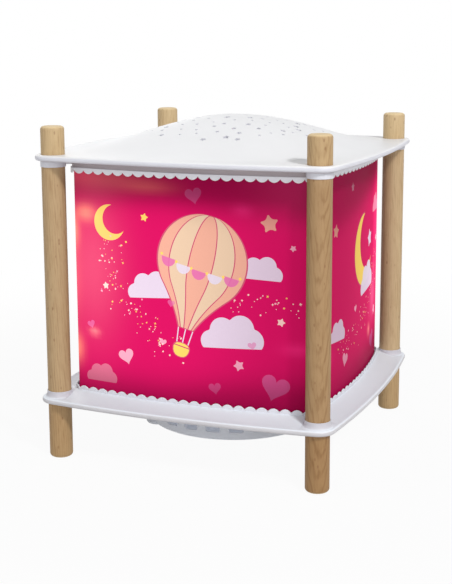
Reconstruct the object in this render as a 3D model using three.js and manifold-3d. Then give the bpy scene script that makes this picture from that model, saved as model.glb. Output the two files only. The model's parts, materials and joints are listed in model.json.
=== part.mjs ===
// Night light lantern: four turned wooden posts carry a moulded base plate and a domed,
// perforated roof. A printed film shade stands between them, and a printed drum turns on a
// needle inside it, driven by the warm air that rises from the bulb. Millimetres, +Z up,
// origin on the table under the middle of the lantern, printed front towards -Y.
import * as THREE from 'three';
import { mergeVertices } from 'three/addons/utils/BufferGeometryUtils.js';
import Module from 'manifold-3d';

const wasm = await Module();
wasm.setup();

// Fits: touching pieces keep a gap, and cuts run past the faces that they open.
const seatGap = 0.3;
const sleeveGap = 0.15;
const overrun = 1;

// Posts
const postSpacing = 146.2;
const postRadius = 6.25;
const postHeight = 180;
const postEndRound = 2;
const postSides = 16;

// Plates: the base plate and the roof share one outline with bulged sides.
const plateThickness = 3;
const plateOverhang = 3.15;
const plateBulge = 4.3;
const plateRimRound = 1;
const basePlateHeight = 31;
const roofPlateHeight = 162.1;
const collarWall = 0.6;
const collarHeight = 3.4;
const webThickness = 1.4;

// Roof dome and its perforations
const domeRise = 17.9;
const domeReach = 78.5;
const domeSquareness = 3;
const domeFlare = 0.7;
const perforationCount = 38;
const smallHoleRadius = 0.8;
const largeHoleRadius = 1.35;
const perforationSides = 5;
const perforatedReach = 66;
const perforatedStart = 7;

// Shade: the outer face of the scalloped bands sets the line of everything that holds the film.
const shadeCornerCentre = 61.7;
const shadeCornerRadius = 6.5;
const shadeBulge = 5;
const bandThickness = 0.6;
const railThickness = 0.7;
const railHeight = 3.6;
const railGap = 0.2;
const filmThickness = 0.5;
const lugThickness = 1.4;
const lugLength = 9;
const lugHeight = 3.4;
const lugSpread = 34;
const scallopCount = 92;
const scallopDepth = 1.4;
const scallopSteps = 3;
const scallopEndShare = 0.2;
const baseBandHeight = 4.9;
const roofBandHeight = 3.1;
const roofBandDrop = 2.8;

// Drum: printed film on a bladed top and a bottom hoop
const drumFloorGap = 7;
const drumRoofGap = 11.5;
const drumRunningGap = 1.45;
const drumFilmThickness = 0.5;
const drumSides = 36;
const hoopThickness = 1.2;
const hoopHeight = 3;
const turbineRimThickness = 1.8;
const turbineRimHeight = 3.2;
const bladeCount = 12;
const bladeChord = 12;
const bladeThickness = 0.7;
const bladePitch = 28;
const turbineHubRadius = 7;
const turbineHubHeight = 3.4;
const cupRadius = 3.2;
const cupHeight = 5;
const cupRecessRadius = 1.9;
const cupRecessDepth = 2.6;

// Yoke: bent wire that stands on the base plate inside the drum, with the needle on top
const yokeWireRadius = 1.2;
const yokeArchRise = 23.5;
const yokeBossMargin = 3.2;
const yokeBossRadius = 3.1;
const yokeBossHeight = 4.6;
const yokeHubRadius = 2.6;
const yokeHubHeight = 6;
const needleRadius = 0.75;
const needleProud = 3.4;
const needlePointLength = 3;
const needleSocketDepth = 3.5;

// Lamp unit: the round housing under the base plate that twists off to change the bulb
const housingTopRadius = 51.5;
const housingBottomRadius = 49;
const housingBottom = 10;
const housingWall = 2;
const housingFloor = 2;
const housingRound = 2.4;
const housingSides = 48;
const ventCount = 24;
const ventWidth = 8.6;
const ventBottom = 15;
const ventHeight = 8;
const ventBlankAngle = 46;
const floorVentCount = 8;
const floorVentLength = 13;
const floorVentWidth = 4;
const floorVentCentre = 20;
const thumbTabWidth = 13;
const thumbTabReach = 3.4;
const thumbTabHeight = 3.4;
const thumbTabAzimuth = 221;

// Twist lock between the deck of the lamp unit and the base plate
const lockRimInset = 4.9;
const deckThickness = 2.4;
const lockRimGap = 0.7;
const lockLugCount = 3;
const lockLugReach = 3.2;
const lockLugThickness = 1.6;
const lockLugAngle = 14;
const lockNotchAngle = 18;
const lockTwist = 24;
const lockAzimuth = 30;
const lockRimWall = 2;
const screwBossRadius = 4;
const screwBossInset = 10.6;
const screwRadius = 1.5;
const screwHeadRadius = 2.8;
const screwHeadHeight = 1.8;
const screwLength = 12;
const airHoleCount = 6;
const airHoleRadius = 6;
const airHoleCentre = 21;

// Lamp: stem, ceramic holder and capsule bulb
const stemRadius = 6;
const stemBore = 4.6;
const stemLength = 17;
const stemFlangeRadius = 13;
const stemFlangeThickness = 1.6;
const stemScrewCentre = 9.8;
const holderRadius = 8;
const holderHeight = 12;
const bulbRadius = 6;
const bulbHeight = 26;
const bulbShoulderShare = 0.5;
const pinchWidth = 9;
const pinchThickness = 4;
const pinchHeight = 6;
const bulbPinSpacing = 4;
const bulbPinRadius = 0.5;
const bulbPinLength = 7;
const pinchStandOff = 2;

// Low-voltage inlet socket and rocker switch on the rear wall of the housing
const inletAzimuth = 71;
const inletRadius = 5.4;
const inletFlangeRadius = 6.6;
const inletFlangeThickness = 1.3;
const inletDepth = 11;
const inletBore = 3;
const inletBoreDepth = 9;
const inletPinRadius = 0.9;
const inletPinLength = 7.5;
const switchAzimuth = 109;
const padProud = 1.64;
const padRoot = 1.45;
const padWidth = 21;
const padHeight = 14;
const fittingHeight = 20.5;
const switchBezelWidth = 16.6;
const switchBezelHeight = 11.4;
const switchBezelThickness = 1.3;
const switchBodyWidth = 14.6;
const switchBodyHeight = 9.4;
const switchBodyDepth = 9;
const switchShell = 0.7;
const rockerLength = 11.6;
const rockerDepth = 4.4;
const rockerCrest = 1.1;
const rockerDishShare = 0.25;
const rockerHeelShare = 0.7;
const rockerSideGap = 0.35;
const rockerTilt = 7;
const rockerPivotDepth = 2.6;

// Internal leads
const leadRadius = 0.8;
const leadSides = 6;
const leadSpacing = 3.6;
const leadSag = 2.5;
const leadStub = 3;

// Heights that follow from the sizes above
const basePlateTop = basePlateHeight + plateThickness;
const roofPlateTop = roofPlateHeight + plateThickness;
const postOffset = postSpacing / 2;
const plateCornerRadius = postRadius + plateOverhang;
const housingTop = basePlateHeight - seatGap;
const deckBottom = housingTop - deckThickness;
const deckTop = housingTop;
const lockRimRadius = housingTopRadius - housingWall - lockRimInset;
const lockRimTop = basePlateTop + seatGap + lockLugThickness;
const lampHoleRadius = lockRimRadius + lockRimGap;
const screwBossCentre = lockRimRadius - screwBossInset;
const webHeight = roofBandDrop - seatGap;
const stemBottom = deckTop + seatGap;
const stemTop = stemBottom + stemLength;
const holderBottom = stemTop + seatGap;
const holderTop = holderBottom + holderHeight;
const pinchBottom = holderTop + pinchStandOff;
const railOffset = bandThickness + railGap;
const filmOffset = railOffset + railThickness + railGap;
const lugOffset = filmOffset + filmThickness + railGap;
const yokeSpread = lampHoleRadius + yokeBossMargin + yokeBossRadius;
const turbineRimOuter = yokeSpread + yokeWireRadius + drumRunningGap + hoopThickness;
const drumInner = turbineRimOuter + seatGap;
const drumBottom = basePlateTop + drumFloorGap;
const drumTop = roofPlateHeight - drumRoofGap;
const cupBottom = drumTop - cupHeight;
const needleTip = cupBottom + cupRecessDepth - seatGap;
const yokeHubTop = needleTip - needleProud;
const yokeCrownHeight = yokeHubTop - yokeHubHeight / 2;
const yokeShoulderHeight = yokeCrownHeight - yokeArchRise;

// Radius of the housing's tapered wall at a height, on a face that starts at a foot
function wallRadius(bottomRadius, foot, height) {
  const taper = (housingTopRadius - housingBottomRadius) / (housingTop - foot);
  return bottomRadius + taper * (height - foot);
}

const outerWall = (height) => wallRadius(housingBottomRadius, housingBottom + housingRound, height);
const innerWall = (height) => wallRadius(housingBottomRadius - housingWall, housingBottom + housingFloor,
  height);

// The pads of the fittings stand proud of the wall beside them and root inside it.
const padWalls = [-1, 1].map((side) => outerWall(fittingHeight + side * padHeight / 2));
const fittingFace = Math.max(...padWalls) + padProud;
const padDepth = fittingFace - Math.min(...padWalls) + padRoot;

const colours = {
  beech: 0xcba878, white: 0xf1f1f1, band: 0xe4e4ea, shade: 0xd01c63, drumFilm: 0xe88ab0,
  steel: 0xb8bcc0, brass: 0xc8a24a, ceramic: 0xefebe0, glass: 0xf4f1e4, black: 0x1c1c1e,
  aluminium: 0xd2d5d8, redLead: 0xa3352c, blackLead: 0x2a2a2c,
};

const lantern = new THREE.Group();

// Adds one named sub-part to a group, with a material of its own.
function addPart(parent, name, geometry, colour, roughness = 0.5, metalness = 0) {
  const material = new THREE.MeshStandardMaterial({ color: colour, roughness, metalness });
  const mesh = new THREE.Mesh(geometry, material);
  mesh.name = name;
  parent.add(mesh);
  return mesh;
}

// Adds small steel pieces of one kind, numbered from one.
function addEach(name, geometries) {
  geometries.forEach((geometry, i) => addPart(lantern, `${name}_${i + 1}`, geometry, colours.steel, 0.35, 1));
}

// Closed geometry with shared vertices, ready to be joined or cut.
function weld(geometry) {
  const bare = geometry.clone();
  bare.deleteAttribute('normal');
  bare.deleteAttribute('uv');
  return mergeVertices(bare);
}

function toSolid(geometry) {
  const merged = weld(geometry);
  const triVerts = Uint32Array.from(merged.index.array);
  const vertProperties = Float32Array.from(merged.attributes.position.array);
  return new wasm.Manifold(new wasm.Mesh({ numProp: 3, vertProperties, triVerts }));
}

function toGeometry(solid) {
  const mesh = solid.getMesh();
  const geometry = new THREE.BufferGeometry();
  geometry.setAttribute('position', new THREE.BufferAttribute(mesh.vertProperties, 3));
  geometry.setIndex(new THREE.BufferAttribute(mesh.triVerts, 1));
  geometry.computeVertexNormals();
  return geometry;
}

function join(geometries) {
  return toGeometry(geometries.map(toSolid).reduce((sum, solid) => sum.add(solid)));
}

function cut(geometry, tools) {
  return toGeometry(tools.map(toSolid).reduce((rest, tool) => rest.subtract(tool), toSolid(geometry)));
}

const radians = THREE.MathUtils.degToRad;

// Turns a geometry about the lantern's vertical axis.
function turned(geometry, degrees) {
  return geometry.clone().rotateZ(radians(degrees));
}

// Arc of a bulged side: its radius, and its centre's place on the axis that it faces.
function sideArc(centre, radius, bulge) {
  const sideRadius = (centre * centre / bulge + 2 * radius + bulge) / 2;
  return { sideRadius, sideCentre: centre + radius + bulge - sideRadius };
}

// Outline of a square whose sides bulge as arcs, tangent to the round corners.
function bulgedSquare(centre, radius, bulge, sideSteps = 6, cornerSteps = 4) {
  const { sideRadius, sideCentre } = sideArc(centre, radius, bulge);
  const lean = Math.atan2(centre, centre - sideCentre);
  const quarter = [];
  for (let i = 0; i < sideSteps; i += 1) {
    const angle = -lean + (2 * lean * i) / sideSteps;
    quarter.push([sideCentre + sideRadius * Math.cos(angle), sideRadius * Math.sin(angle)]);
  }
  for (let i = 0; i < cornerSteps; i += 1) {
    const angle = lean + ((Math.PI / 2 - 2 * lean) * i) / cornerSteps;
    quarter.push([centre + radius * Math.cos(angle), centre + radius * Math.sin(angle)]);
  }
  const points = [];
  for (let side = 0; side < 4; side += 1) {
    for (const [x, y] of quarter) {
      points.push(new THREE.Vector2(x, y).rotateAround(new THREE.Vector2(0, 0), side * Math.PI / 2));
    }
  }
  return points;
}

// Upright prism of an outline, with holes, between two heights.
function prism(outline, holes, bottom, top) {
  const shape = new THREE.Shape(outline);
  for (const hole of holes) shape.holes.push(new THREE.Path(hole));
  const geometry = new THREE.ExtrudeGeometry(shape, { depth: top - bottom, bevelEnabled: false });
  return geometry.translate(0, 0, bottom);
}

function circle(radius, sides, x = 0, y = 0) {
  return Array.from({ length: sides }, (_, i) => {
    const angle = (2 * Math.PI * i) / sides;
    return new THREE.Vector2(x + radius * Math.cos(angle), y + radius * Math.sin(angle));
  });
}

function cylinder(radius, bottom, top, x = 0, y = 0, sides = 24) {
  return prism(circle(radius, sides, x, y), [], bottom, top);
}

function box(width, depth, bottom, top, x = 0, y = 0) {
  const geometry = new THREE.BoxGeometry(width, depth, top - bottom);
  return geometry.translate(x, y, (top + bottom) / 2);
}

// Round bar along +X between two places
function barAlongX(radius, from, to, sides) {
  return new THREE.CylinderGeometry(radius, radius, to - from, sides).rotateZ(Math.PI / 2)
    .translate((from + to) / 2, 0, 0);
}

// Turned body from a profile of [radius, height] pairs that starts and ends on the axis or closes.
function lathe(profile, sides) {
  const geometry = new THREE.LatheGeometry(profile.map(([r, z]) => new THREE.Vector2(r, z)), sides);
  return geometry.rotateX(Math.PI / 2);
}

// Round wire along points, with closed ends
function wire(points, radius, sides, steps) {
  const path = new THREE.CatmullRomCurve3(points, false, 'centripetal');
  return new THREE.ExtrudeGeometry(new THREE.Shape(circle(radius, sides)), {
    steps, bevelEnabled: false, extrudePath: path,
  });
}

// Closed skin over rings of equal point count, from a bottom centre to a top centre.
function skin(rings) {
  const count = rings[0].length;
  const positions = rings.flat().flatMap((p) => [p.x, p.y, p.z]);
  const mean = (ring) => ring.reduce((total, p) => total.add(p), new THREE.Vector3()).divideScalar(count);
  const first = mean(rings[0]);
  const last = mean(rings[rings.length - 1]);
  const firstIndex = positions.length / 3;
  positions.push(first.x, first.y, first.z, last.x, last.y, last.z);
  const top = (rings.length - 1) * count;
  const index = [];
  for (let i = 0; i < count; i += 1) {
    const next = (i + 1) % count;
    index.push(firstIndex, next, i, firstIndex + 1, top + i, top + next);
    for (let low = 0; low < top; low += count) {
      const high = low + count;
      index.push(low + i, low + next, high + next, low + i, high + next, high + i);
    }
  }
  const geometry = new THREE.BufferGeometry();
  geometry.setAttribute('position', new THREE.Float32BufferAttribute(positions, 3));
  geometry.setIndex(index);
  return geometry;
}

// The four corners, with the sign of x and y and the name of the post that stands there.
const corners = [
  { name: 'front_right_post', sx: 1, sy: -1 },
  { name: 'front_left_post', sx: -1, sy: -1 },
  { name: 'back_left_post', sx: -1, sy: 1 },
  { name: 'back_right_post', sx: 1, sy: 1 },
];

// Wooden posts with softly rounded ends
function postGeometry() {
  const turns = [0, Math.PI / 4, Math.PI / 2];
  const round = turns.map((turn) => [postRadius - postEndRound * (1 - Math.sin(turn)),
    postEndRound * (1 - Math.cos(turn))]);
  const top = round.map(([r, z]) => [r, postHeight - z]).reverse();
  return lathe([[0, 0], ...round, ...top, [0, postHeight]], postSides);
}

for (const { name, sx, sy } of corners) {
  const post = addPart(lantern, name, postGeometry(), colours.beech, 0.65);
  post.position.set(sx * postOffset, sy * postOffset, 0);
}

// Ring of a plate's outline, drawn in by a share and an inset, on a height function
function plateRing(share, inset, heightAt) {
  return bulgedSquare(postOffset, plateCornerRadius - inset, plateBulge).map(({ x, y }) => {
    const px = x * share;
    const py = y * share;
    return new THREE.Vector3(px, py, heightAt(px, py));
  });
}

// Rounded rim of both plates: inset as a share of the round, height as a share of the thickness
const rimShares = [[1, 0], [0.25, 0.14], [0, 0.5], [0.25, 0.86], [1, 1]];

function plateRim(bottom) {
  return rimShares.map(([inset, rise]) => plateRing(1, inset * plateRimRound,
    () => bottom + rise * plateThickness));
}

// Low and high end of a piece rooted inside a plate that stands off its face by a length
function standOff(face, direction, length) {
  const ends = [face - direction * plateThickness / 2, face + direction * length];
  return ends.sort((a, b) => a - b);
}

const railDiagonal = Math.SQRT2 * shadeCornerCentre + shadeCornerRadius - railOffset - railThickness / 2;
const collarDiagonal = Math.SQRT2 * postOffset - postRadius - sleeveGap - collarWall / 2;

// Web between the rail's corner and a collar, widened on all faces by a margin
function web(sx, sy, low, high, margin) {
  const length = collarDiagonal - railDiagonal;
  const bar = box(length + 2 * margin, webThickness + 2 * margin, low, high + margin,
    railDiagonal + length / 2);
  return turned(bar, THREE.MathUtils.radToDeg(Math.atan2(sy, sx)));
}

// Collars round the posts, with a web from each collar to the rail
function collarsAndWebs(face, direction) {
  const outer = postRadius + sleeveGap + collarWall;
  return corners.flatMap(({ sx, sy }) => [
    cylinder(outer, ...standOff(face, direction, collarHeight), sx * postOffset, sy * postOffset, postSides),
    web(sx, sy, ...standOff(face, direction, webHeight), 0),
  ]);
}

function postHoles(bottom, top) {
  return corners.map(({ sx, sy }) => cylinder(postRadius + sleeveGap, bottom - overrun, top + overrun,
    sx * postOffset, sy * postOffset, postSides));
}

function shadeLoop(offset) {
  return bulgedSquare(shadeCornerCentre, shadeCornerRadius - offset, shadeBulge);
}

function shadeRing(offset, thickness, bottom, top) {
  return prism(shadeLoop(offset), [shadeLoop(offset + thickness)], bottom, top);
}

// Lugs inside the film, two to a side, so that the film stands between rail and lugs
function filmLugs(face, direction) {
  const { sideRadius, sideCentre } = sideArc(shadeCornerCentre, shadeCornerRadius, shadeBulge);
  const farEnd = lugSpread + lugLength / 2;
  const outerFace = sideCentre + Math.sqrt((sideRadius - lugOffset) ** 2 - farEnd ** 2);
  const lug = (place) => box(lugThickness, lugLength, ...standOff(face, direction, lugHeight),
    outerFace - lugThickness / 2, place);
  return corners.flatMap((_, side) => [-lugSpread, lugSpread].map((place) => turned(lug(place), 90 * side)));
}

// A sector between two radii, used for the lock lugs and their notches
function sector(inner, outer, spread, bottom, top, azimuth, steps = 3) {
  const arc = (radius) => Array.from({ length: steps + 1 }, (_, i) => {
    const angle = radians(azimuth - spread / 2 + (spread * i) / steps);
    return new THREE.Vector2(radius * Math.cos(angle), radius * Math.sin(angle));
  });
  return prism([...arc(outer), ...arc(inner).reverse()], [], bottom, top);
}

function around(count, start, make) {
  return Array.from({ length: count }, (_, i) => make(start + (360 * i) / count));
}

// Base plate: plate, collars, rail, lugs, yoke bosses, and the keyed hole of the lamp unit
function basePlateGeometry() {
  const rail = shadeRing(railOffset, railThickness, ...standOff(basePlateTop, 1, railHeight));
  const bossEnds = standOff(basePlateTop, 1, yokeBossHeight);
  const bosses = [-1, 1].map((side) => cylinder(yokeBossRadius, ...bossEnds, 0, side * yokeSpread, 12));
  const body = join([skin(plateRim(basePlateHeight)), ...collarsAndWebs(basePlateTop, 1), rail,
    ...filmLugs(basePlateTop, 1), ...bosses]);
  const sockets = [-1, 1].map((side) => cylinder(yokeWireRadius + seatGap, basePlateTop,
    basePlateTop + yokeBossHeight + overrun, 0, side * yokeSpread, 8));
  const hole = cylinder(lampHoleRadius, basePlateHeight - overrun, basePlateTop + overrun, 0, 0,
    housingSides);
  const notches = around(lockLugCount, lockAzimuth + lockTwist, (azimuth) => sector(
    lockRimRadius - overrun, lockRimRadius + lockLugReach + lockRimGap, lockNotchAngle,
    basePlateHeight - overrun, basePlateTop + overrun, azimuth));
  return cut(body, [...postHoles(basePlateHeight, basePlateTop + collarHeight), hole, ...sockets,
    ...notches]);
}

addPart(lantern, 'base_plate', basePlateGeometry(), colours.white, 0.45);

// Roof: a bell-shaped dome of even wall that runs out into a flat rim
function domeHeight(x, y) {
  const reach = (Math.abs(x) ** domeSquareness + Math.abs(y) ** domeSquareness) ** (1 / domeSquareness);
  const share = Math.min(reach / domeReach, 1);
  return domeRise * ((1 + Math.cos(Math.PI * share)) / 2) ** domeFlare;
}

// Rings of the roof's two faces, as shares of the outline
const roofRingShares = [0.1, 0.26, 0.44, 0.62, 0.78, 0.92];

function domeRings(rim) {
  return roofRingShares.map((share) => plateRing(share, plateRimRound, (x, y) => rim + domeHeight(x, y)));
}

// Holes scattered over the dome on a sunflower spiral, every third one large
function perforations() {
  const goldenAngle = Math.PI * (3 - Math.sqrt(5));
  return Array.from({ length: perforationCount }, (_, i) => {
    const share = Math.sqrt((2 * i + 1) / (2 * perforationCount));
    const reach = perforatedStart + (perforatedReach - perforatedStart) * share;
    const radius = i % 3 === 0 ? largeHoleRadius : smallHoleRadius;
    return cylinder(radius, roofPlateHeight - overrun, roofPlateTop + domeRise + overrun,
      reach * Math.cos(i * goldenAngle), reach * Math.sin(i * goldenAngle), perforationSides);
  });
}

function roofGeometry() {
  const dome = skin([...domeRings(roofPlateHeight), ...plateRim(roofPlateHeight),
    ...domeRings(roofPlateTop).reverse()]);
  const rail = shadeRing(railOffset, railThickness, ...standOff(roofPlateHeight, -1, railHeight));
  const body = join([dome, ...collarsAndWebs(roofPlateHeight, -1), rail, ...filmLugs(roofPlateHeight, -1)]);
  return cut(body, [...postHoles(roofPlateHeight - collarHeight, roofPlateTop), ...perforations()]);
}

addPart(lantern, 'roof', roofGeometry(), colours.white, 0.4);

// Free edge of a band at a place along it, in scallops that are round between sharp valleys
function scallopHeight(height, turns) {
  const swing = Math.abs(2 * (turns % 1) - 1);
  return height - scallopDepth * (1 - Math.sqrt(1 - swing * swing));
}

// Places along one flat stretch of a band: its ends and the scallop steps between them
function scallopPlaces(start, end, step) {
  const first = Math.ceil(start / step + scallopEndShare);
  const count = Math.max(0, Math.ceil(end / step - scallopEndShare) - first);
  return [start, ...Array.from({ length: count }, (_, k) => (first + k) * step), end];
}

// Upright strip on the shade line, from its root edge up or down to a row of scallops
function scallopedBand(root, height, direction) {
  const loops = [shadeLoop(0), shadeLoop(bandThickness)];
  const lengths = loops[0].map((point, i, loop) => point.distanceTo(loop[(i + 1) % loop.length]));
  const total = lengths.reduce((sum, length) => sum + length, 0);
  const positions = [];
  const index = [];
  let start = 0;
  lengths.forEach((length, i) => {
    const end = start + length;
    const places = scallopPlaces(start, end, total / scallopCount / scallopSteps);
    const edge = places.map((place) => [(place - start) / length,
      root + direction * scallopHeight(height, (place / total) * scallopCount)]);
    const face = [[0, root], ...edge, [1, root]];
    const [front, back] = loops.map((loop) => face.map(([share, z]) => {
      const { x, y } = loop[i].clone().lerp(loop[(i + 1) % loop.length], share);
      return positions.push(x, y, z) / 3 - 1;
    }));
    const flat = face.map(([share, z]) => new THREE.Vector2(share * length, z));
    for (const [a, b, c] of THREE.ShapeUtils.triangulateShape(flat, [])) {
      index.push(front[a], front[b], front[c], back[a], back[c], back[b]);
    }
    face.forEach((_, k) => {
      const next = (k + 1) % face.length;
      if (k === 0 || k === face.length - 2) return;
      const quad = [front[k], front[next], back[next], front[k], back[next], back[k]];
      index.push(...(direction > 0 ? quad : quad.reverse()));
    });
    start = end;
  });
  const geometry = new THREE.BufferGeometry();
  geometry.setAttribute('position', new THREE.Float32BufferAttribute(positions, 3));
  geometry.setIndex(index);
  return mergeVertices(geometry);
}

// The base band is notched over the webs, and the roof band hangs clear below them.
const baseBandRoot = basePlateTop + seatGap;
const webNotches = corners.map(({ sx, sy }) => web(sx, sy, basePlateTop, basePlateTop + webHeight, seatGap));
addPart(lantern, 'base_scalloped_band',
  cut(scallopedBand(baseBandRoot, baseBandHeight, 1), webNotches), colours.band, 0.4);
addPart(lantern, 'roof_scalloped_band',
  scallopedBand(roofPlateHeight - roofBandDrop, roofBandHeight, -1), colours.band, 0.4);

// Printed shade, one film wrapped round the four sides between the plates
addPart(lantern, 'shade_film', shadeRing(filmOffset, filmThickness, basePlateTop + seatGap,
  roofPlateHeight - seatGap), colours.shade, 0.35);

// Yoke: a wire arch from boss to boss with a hub at its crown, and the needle in the hub
const yokeShares = [[1, 0.45], [1, 0.8], [0.99, 1]];
const yokeCrownShares = [[0.84, 0.62], [0.45, 0.94]];

function yokeGeometry() {
  const foot = basePlateTop + seatGap;
  const leg = yokeShares.map(([across, up]) => [across * yokeSpread,
    foot + up * (yokeShoulderHeight - foot)]);
  const crown = yokeCrownShares.map(([across, up]) => [across * yokeSpread,
    yokeShoulderHeight + up * (yokeCrownHeight - yokeShoulderHeight)]);
  const half = [[yokeSpread, foot], ...leg, ...crown];
  const place = ([across, height], side) => new THREE.Vector3(0, side * across, height);
  const points = [...half.map((p) => place(p, -1)), place([0, yokeCrownHeight], 1),
    ...half.map((p) => place(p, 1)).reverse()];
  const hub = cylinder(yokeHubRadius, yokeHubTop - yokeHubHeight, yokeHubTop, 0, 0, 12);
  const bore = cylinder(needleRadius + seatGap, yokeHubTop - needleSocketDepth, yokeHubTop + overrun,
    0, 0, 8);
  return cut(join([wire(points, yokeWireRadius, 8, 30), hub]), [bore]);
}

function needleGeometry() {
  const bottom = yokeHubTop - needleSocketDepth + seatGap;
  return lathe([[0, bottom], [needleRadius, bottom], [needleRadius, needleTip - needlePointLength],
    [0, needleTip]], 8);
}

addPart(lantern, 'needle_yoke', yokeGeometry(), colours.steel, 0.3, 1);
addPart(lantern, 'pivot_needle', needleGeometry(), colours.steel, 0.25, 1);

// Drum: film, bottom hoop, bladed top and the cup that rides on the needle
function tube(outer, thickness, bottom, top, sides) {
  return prism(circle(outer, sides), [circle(outer - thickness, sides)], bottom, top);
}

function bladeGeometry(azimuth) {
  const inner = turbineHubRadius - bladeThickness;
  const outer = turbineRimOuter - turbineRimThickness / 2;
  const blade = new THREE.BoxGeometry(outer - inner, bladeChord, bladeThickness);
  blade.rotateX(radians(bladePitch)).translate((inner + outer) / 2, 0, drumTop - turbineRimHeight / 2);
  return turned(blade, azimuth);
}

function turbineGeometry() {
  const hub = cylinder(turbineHubRadius, drumTop - turbineHubHeight, drumTop, 0, 0, 24);
  const rim = tube(turbineRimOuter, turbineRimThickness, drumTop - turbineRimHeight, drumTop, drumSides);
  const bore = cylinder(cupRadius + seatGap, cupBottom - overrun, drumTop + overrun, 0, 0, 12);
  return cut(join([hub, rim, ...around(bladeCount, 0, bladeGeometry)]), [bore]);
}

function cupGeometry() {
  return lathe([[0, cupBottom + cupRecessDepth], [cupRecessRadius, cupBottom], [cupRadius, cupBottom],
    [cupRadius, drumTop], [0, drumTop]], 12);
}

addPart(lantern, 'drum_film', tube(drumInner + drumFilmThickness, drumFilmThickness, drumBottom, drumTop,
  drumSides), colours.drumFilm, 0.3);
addPart(lantern, 'drum_hoop', tube(turbineRimOuter, hoopThickness, drumBottom, drumBottom + hoopHeight,
  drumSides), colours.white, 0.4);
addPart(lantern, 'drum_turbine', turbineGeometry(), colours.aluminium, 0.35, 1);
addPart(lantern, 'pivot_cup', cupGeometry(), colours.brass, 0.3, 1);

// Lamp unit housing: a round dish with vents, screw bosses, a thumb tab and two fitting pads
function screwBosses(radius, bottom, top, sides) {
  return around(lockLugCount, lockAzimuth, (azimuth) => turned(
    cylinder(radius, bottom, top, screwBossCentre, 0, sides), azimuth));
}

function housingOutside() {
  const turns = [0, Math.PI / 4, Math.PI / 2];
  const round = turns.map((turn) => [housingBottomRadius - housingRound * (1 - Math.sin(turn)),
    housingBottom + housingRound * (1 - Math.cos(turn))]);
  return lathe([[0, housingBottom], ...round, [housingTopRadius, housingTop], [0, housingTop]], housingSides);
}

function housingInside() {
  const floor = housingBottom + housingFloor;
  return lathe([[0, floor], [innerWall(floor), floor], [innerWall(housingTop), housingTop],
    [innerWall(housingTop), housingTop + overrun], [0, housingTop + overrun]], housingSides);
}

// Depth of a fitting's hole, from the pad face through pad and wall to the inside
function holeDepth(fittingDepth) {
  return Math.max(fittingDepth, padDepth) + overrun;
}

const fittingSlots = { inlet: inletAzimuth, rocker: switchAzimuth };

function housingGeometry() {
  const pads = Object.values(fittingSlots).map((azimuth) => turned(box(padDepth, padWidth,
    fittingHeight - padHeight / 2, fittingHeight + padHeight / 2, fittingFace - padDepth / 2), azimuth));
  const tab = turned(box(thumbTabReach + housingRound, thumbTabWidth, housingBottom,
    housingBottom + thumbTabHeight, housingBottomRadius + (thumbTabReach - housingRound) / 2),
  thumbTabAzimuth);
  const bosses = screwBosses(screwBossRadius, housingBottom + housingFloor / 2, deckBottom - seatGap, 12);
  const shell = cut(join([housingOutside(), ...pads, tab]), [housingInside()]);
  const body = join([shell, ...bosses]);
  const ventInner = Math.min(innerWall(ventBottom), innerWall(ventBottom + ventHeight)) - overrun;
  const ventOuter = Math.max(outerWall(ventBottom), outerWall(ventBottom + ventHeight)) + overrun;
  const vents = around(ventCount, 180 / ventCount, (azimuth) => azimuth)
    .filter((azimuth) => Math.abs(azimuth - 90) > ventBlankAngle)
    .map((azimuth) => turned(box(ventOuter - ventInner, ventWidth, ventBottom, ventBottom + ventHeight,
      (ventInner + ventOuter) / 2), azimuth));
  const floorVents = around(floorVentCount, 0, (azimuth) => turned(box(floorVentLength, floorVentWidth,
    housingBottom - overrun, housingBottom + housingFloor + overrun, floorVentCentre), azimuth));
  const pilots = screwBosses(screwRadius + seatGap, deckTop + seatGap - screwLength - seatGap,
    deckBottom + overrun, 8);
  const inletHole = turned(barAlongX(inletRadius + seatGap, fittingFace - holeDepth(inletDepth),
    fittingFace + overrun, 20).translate(0, 0, fittingHeight), inletAzimuth);
  const switchHole = turned(box(holeDepth(switchBodyDepth) + overrun, switchBodyWidth + 2 * seatGap,
    fittingHeight - switchBodyHeight / 2 - seatGap, fittingHeight + switchBodyHeight / 2 + seatGap,
    fittingFace + (overrun - holeDepth(switchBodyDepth)) / 2), switchAzimuth);
  return cut(body, [...vents, ...floorVents, ...pilots, inletHole, switchHole]);
}

addPart(lantern, 'lamp_housing', housingGeometry(), colours.white, 0.5);

// Deck: closes the housing, with the lock rim that passes up through the base plate
function deckGeometry() {
  const discRadius = Math.min(innerWall(deckBottom), innerWall(deckTop)) - seatGap;
  const disc = cylinder(discRadius, deckBottom, deckTop, 0, 0, housingSides);
  const rim = tube(lockRimRadius, lockRimWall, deckTop - deckThickness / 2, lockRimTop, housingSides);
  const lugs = around(lockLugCount, lockAzimuth, (azimuth) => sector(lockRimRadius - lockRimWall / 2,
    lockRimRadius + lockLugReach, lockLugAngle, lockRimTop - lockLugThickness, lockRimTop, azimuth));
  const low = deckBottom - overrun;
  const high = deckTop + overrun;
  const stemHoles = [0, 180].map((azimuth) => turned(cylinder(screwRadius + seatGap, low, high,
    stemScrewCentre, 0, 8), azimuth));
  const airHoles = around(airHoleCount, lockAzimuth + 180 / airHoleCount, (azimuth) => turned(
    cylinder(airHoleRadius, low, high, airHoleCentre, 0, 12), azimuth));
  return cut(join([disc, rim, ...lugs]), [cylinder(stemBore, low, high, 0, 0, 16), ...stemHoles, ...airHoles,
    ...screwBosses(screwRadius + seatGap, low, high, 8)]);
}

// Screw with a low round head, standing with the head's underside at a height
function screw(seat, length, x = 0) {
  return lathe([[0, seat - length], [screwRadius, seat - length], [screwRadius, seat],
    [screwHeadRadius, seat], [screwHeadRadius, seat + screwHeadHeight], [0, seat + screwHeadHeight]], 8)
    .translate(x, 0, 0);
}

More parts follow.
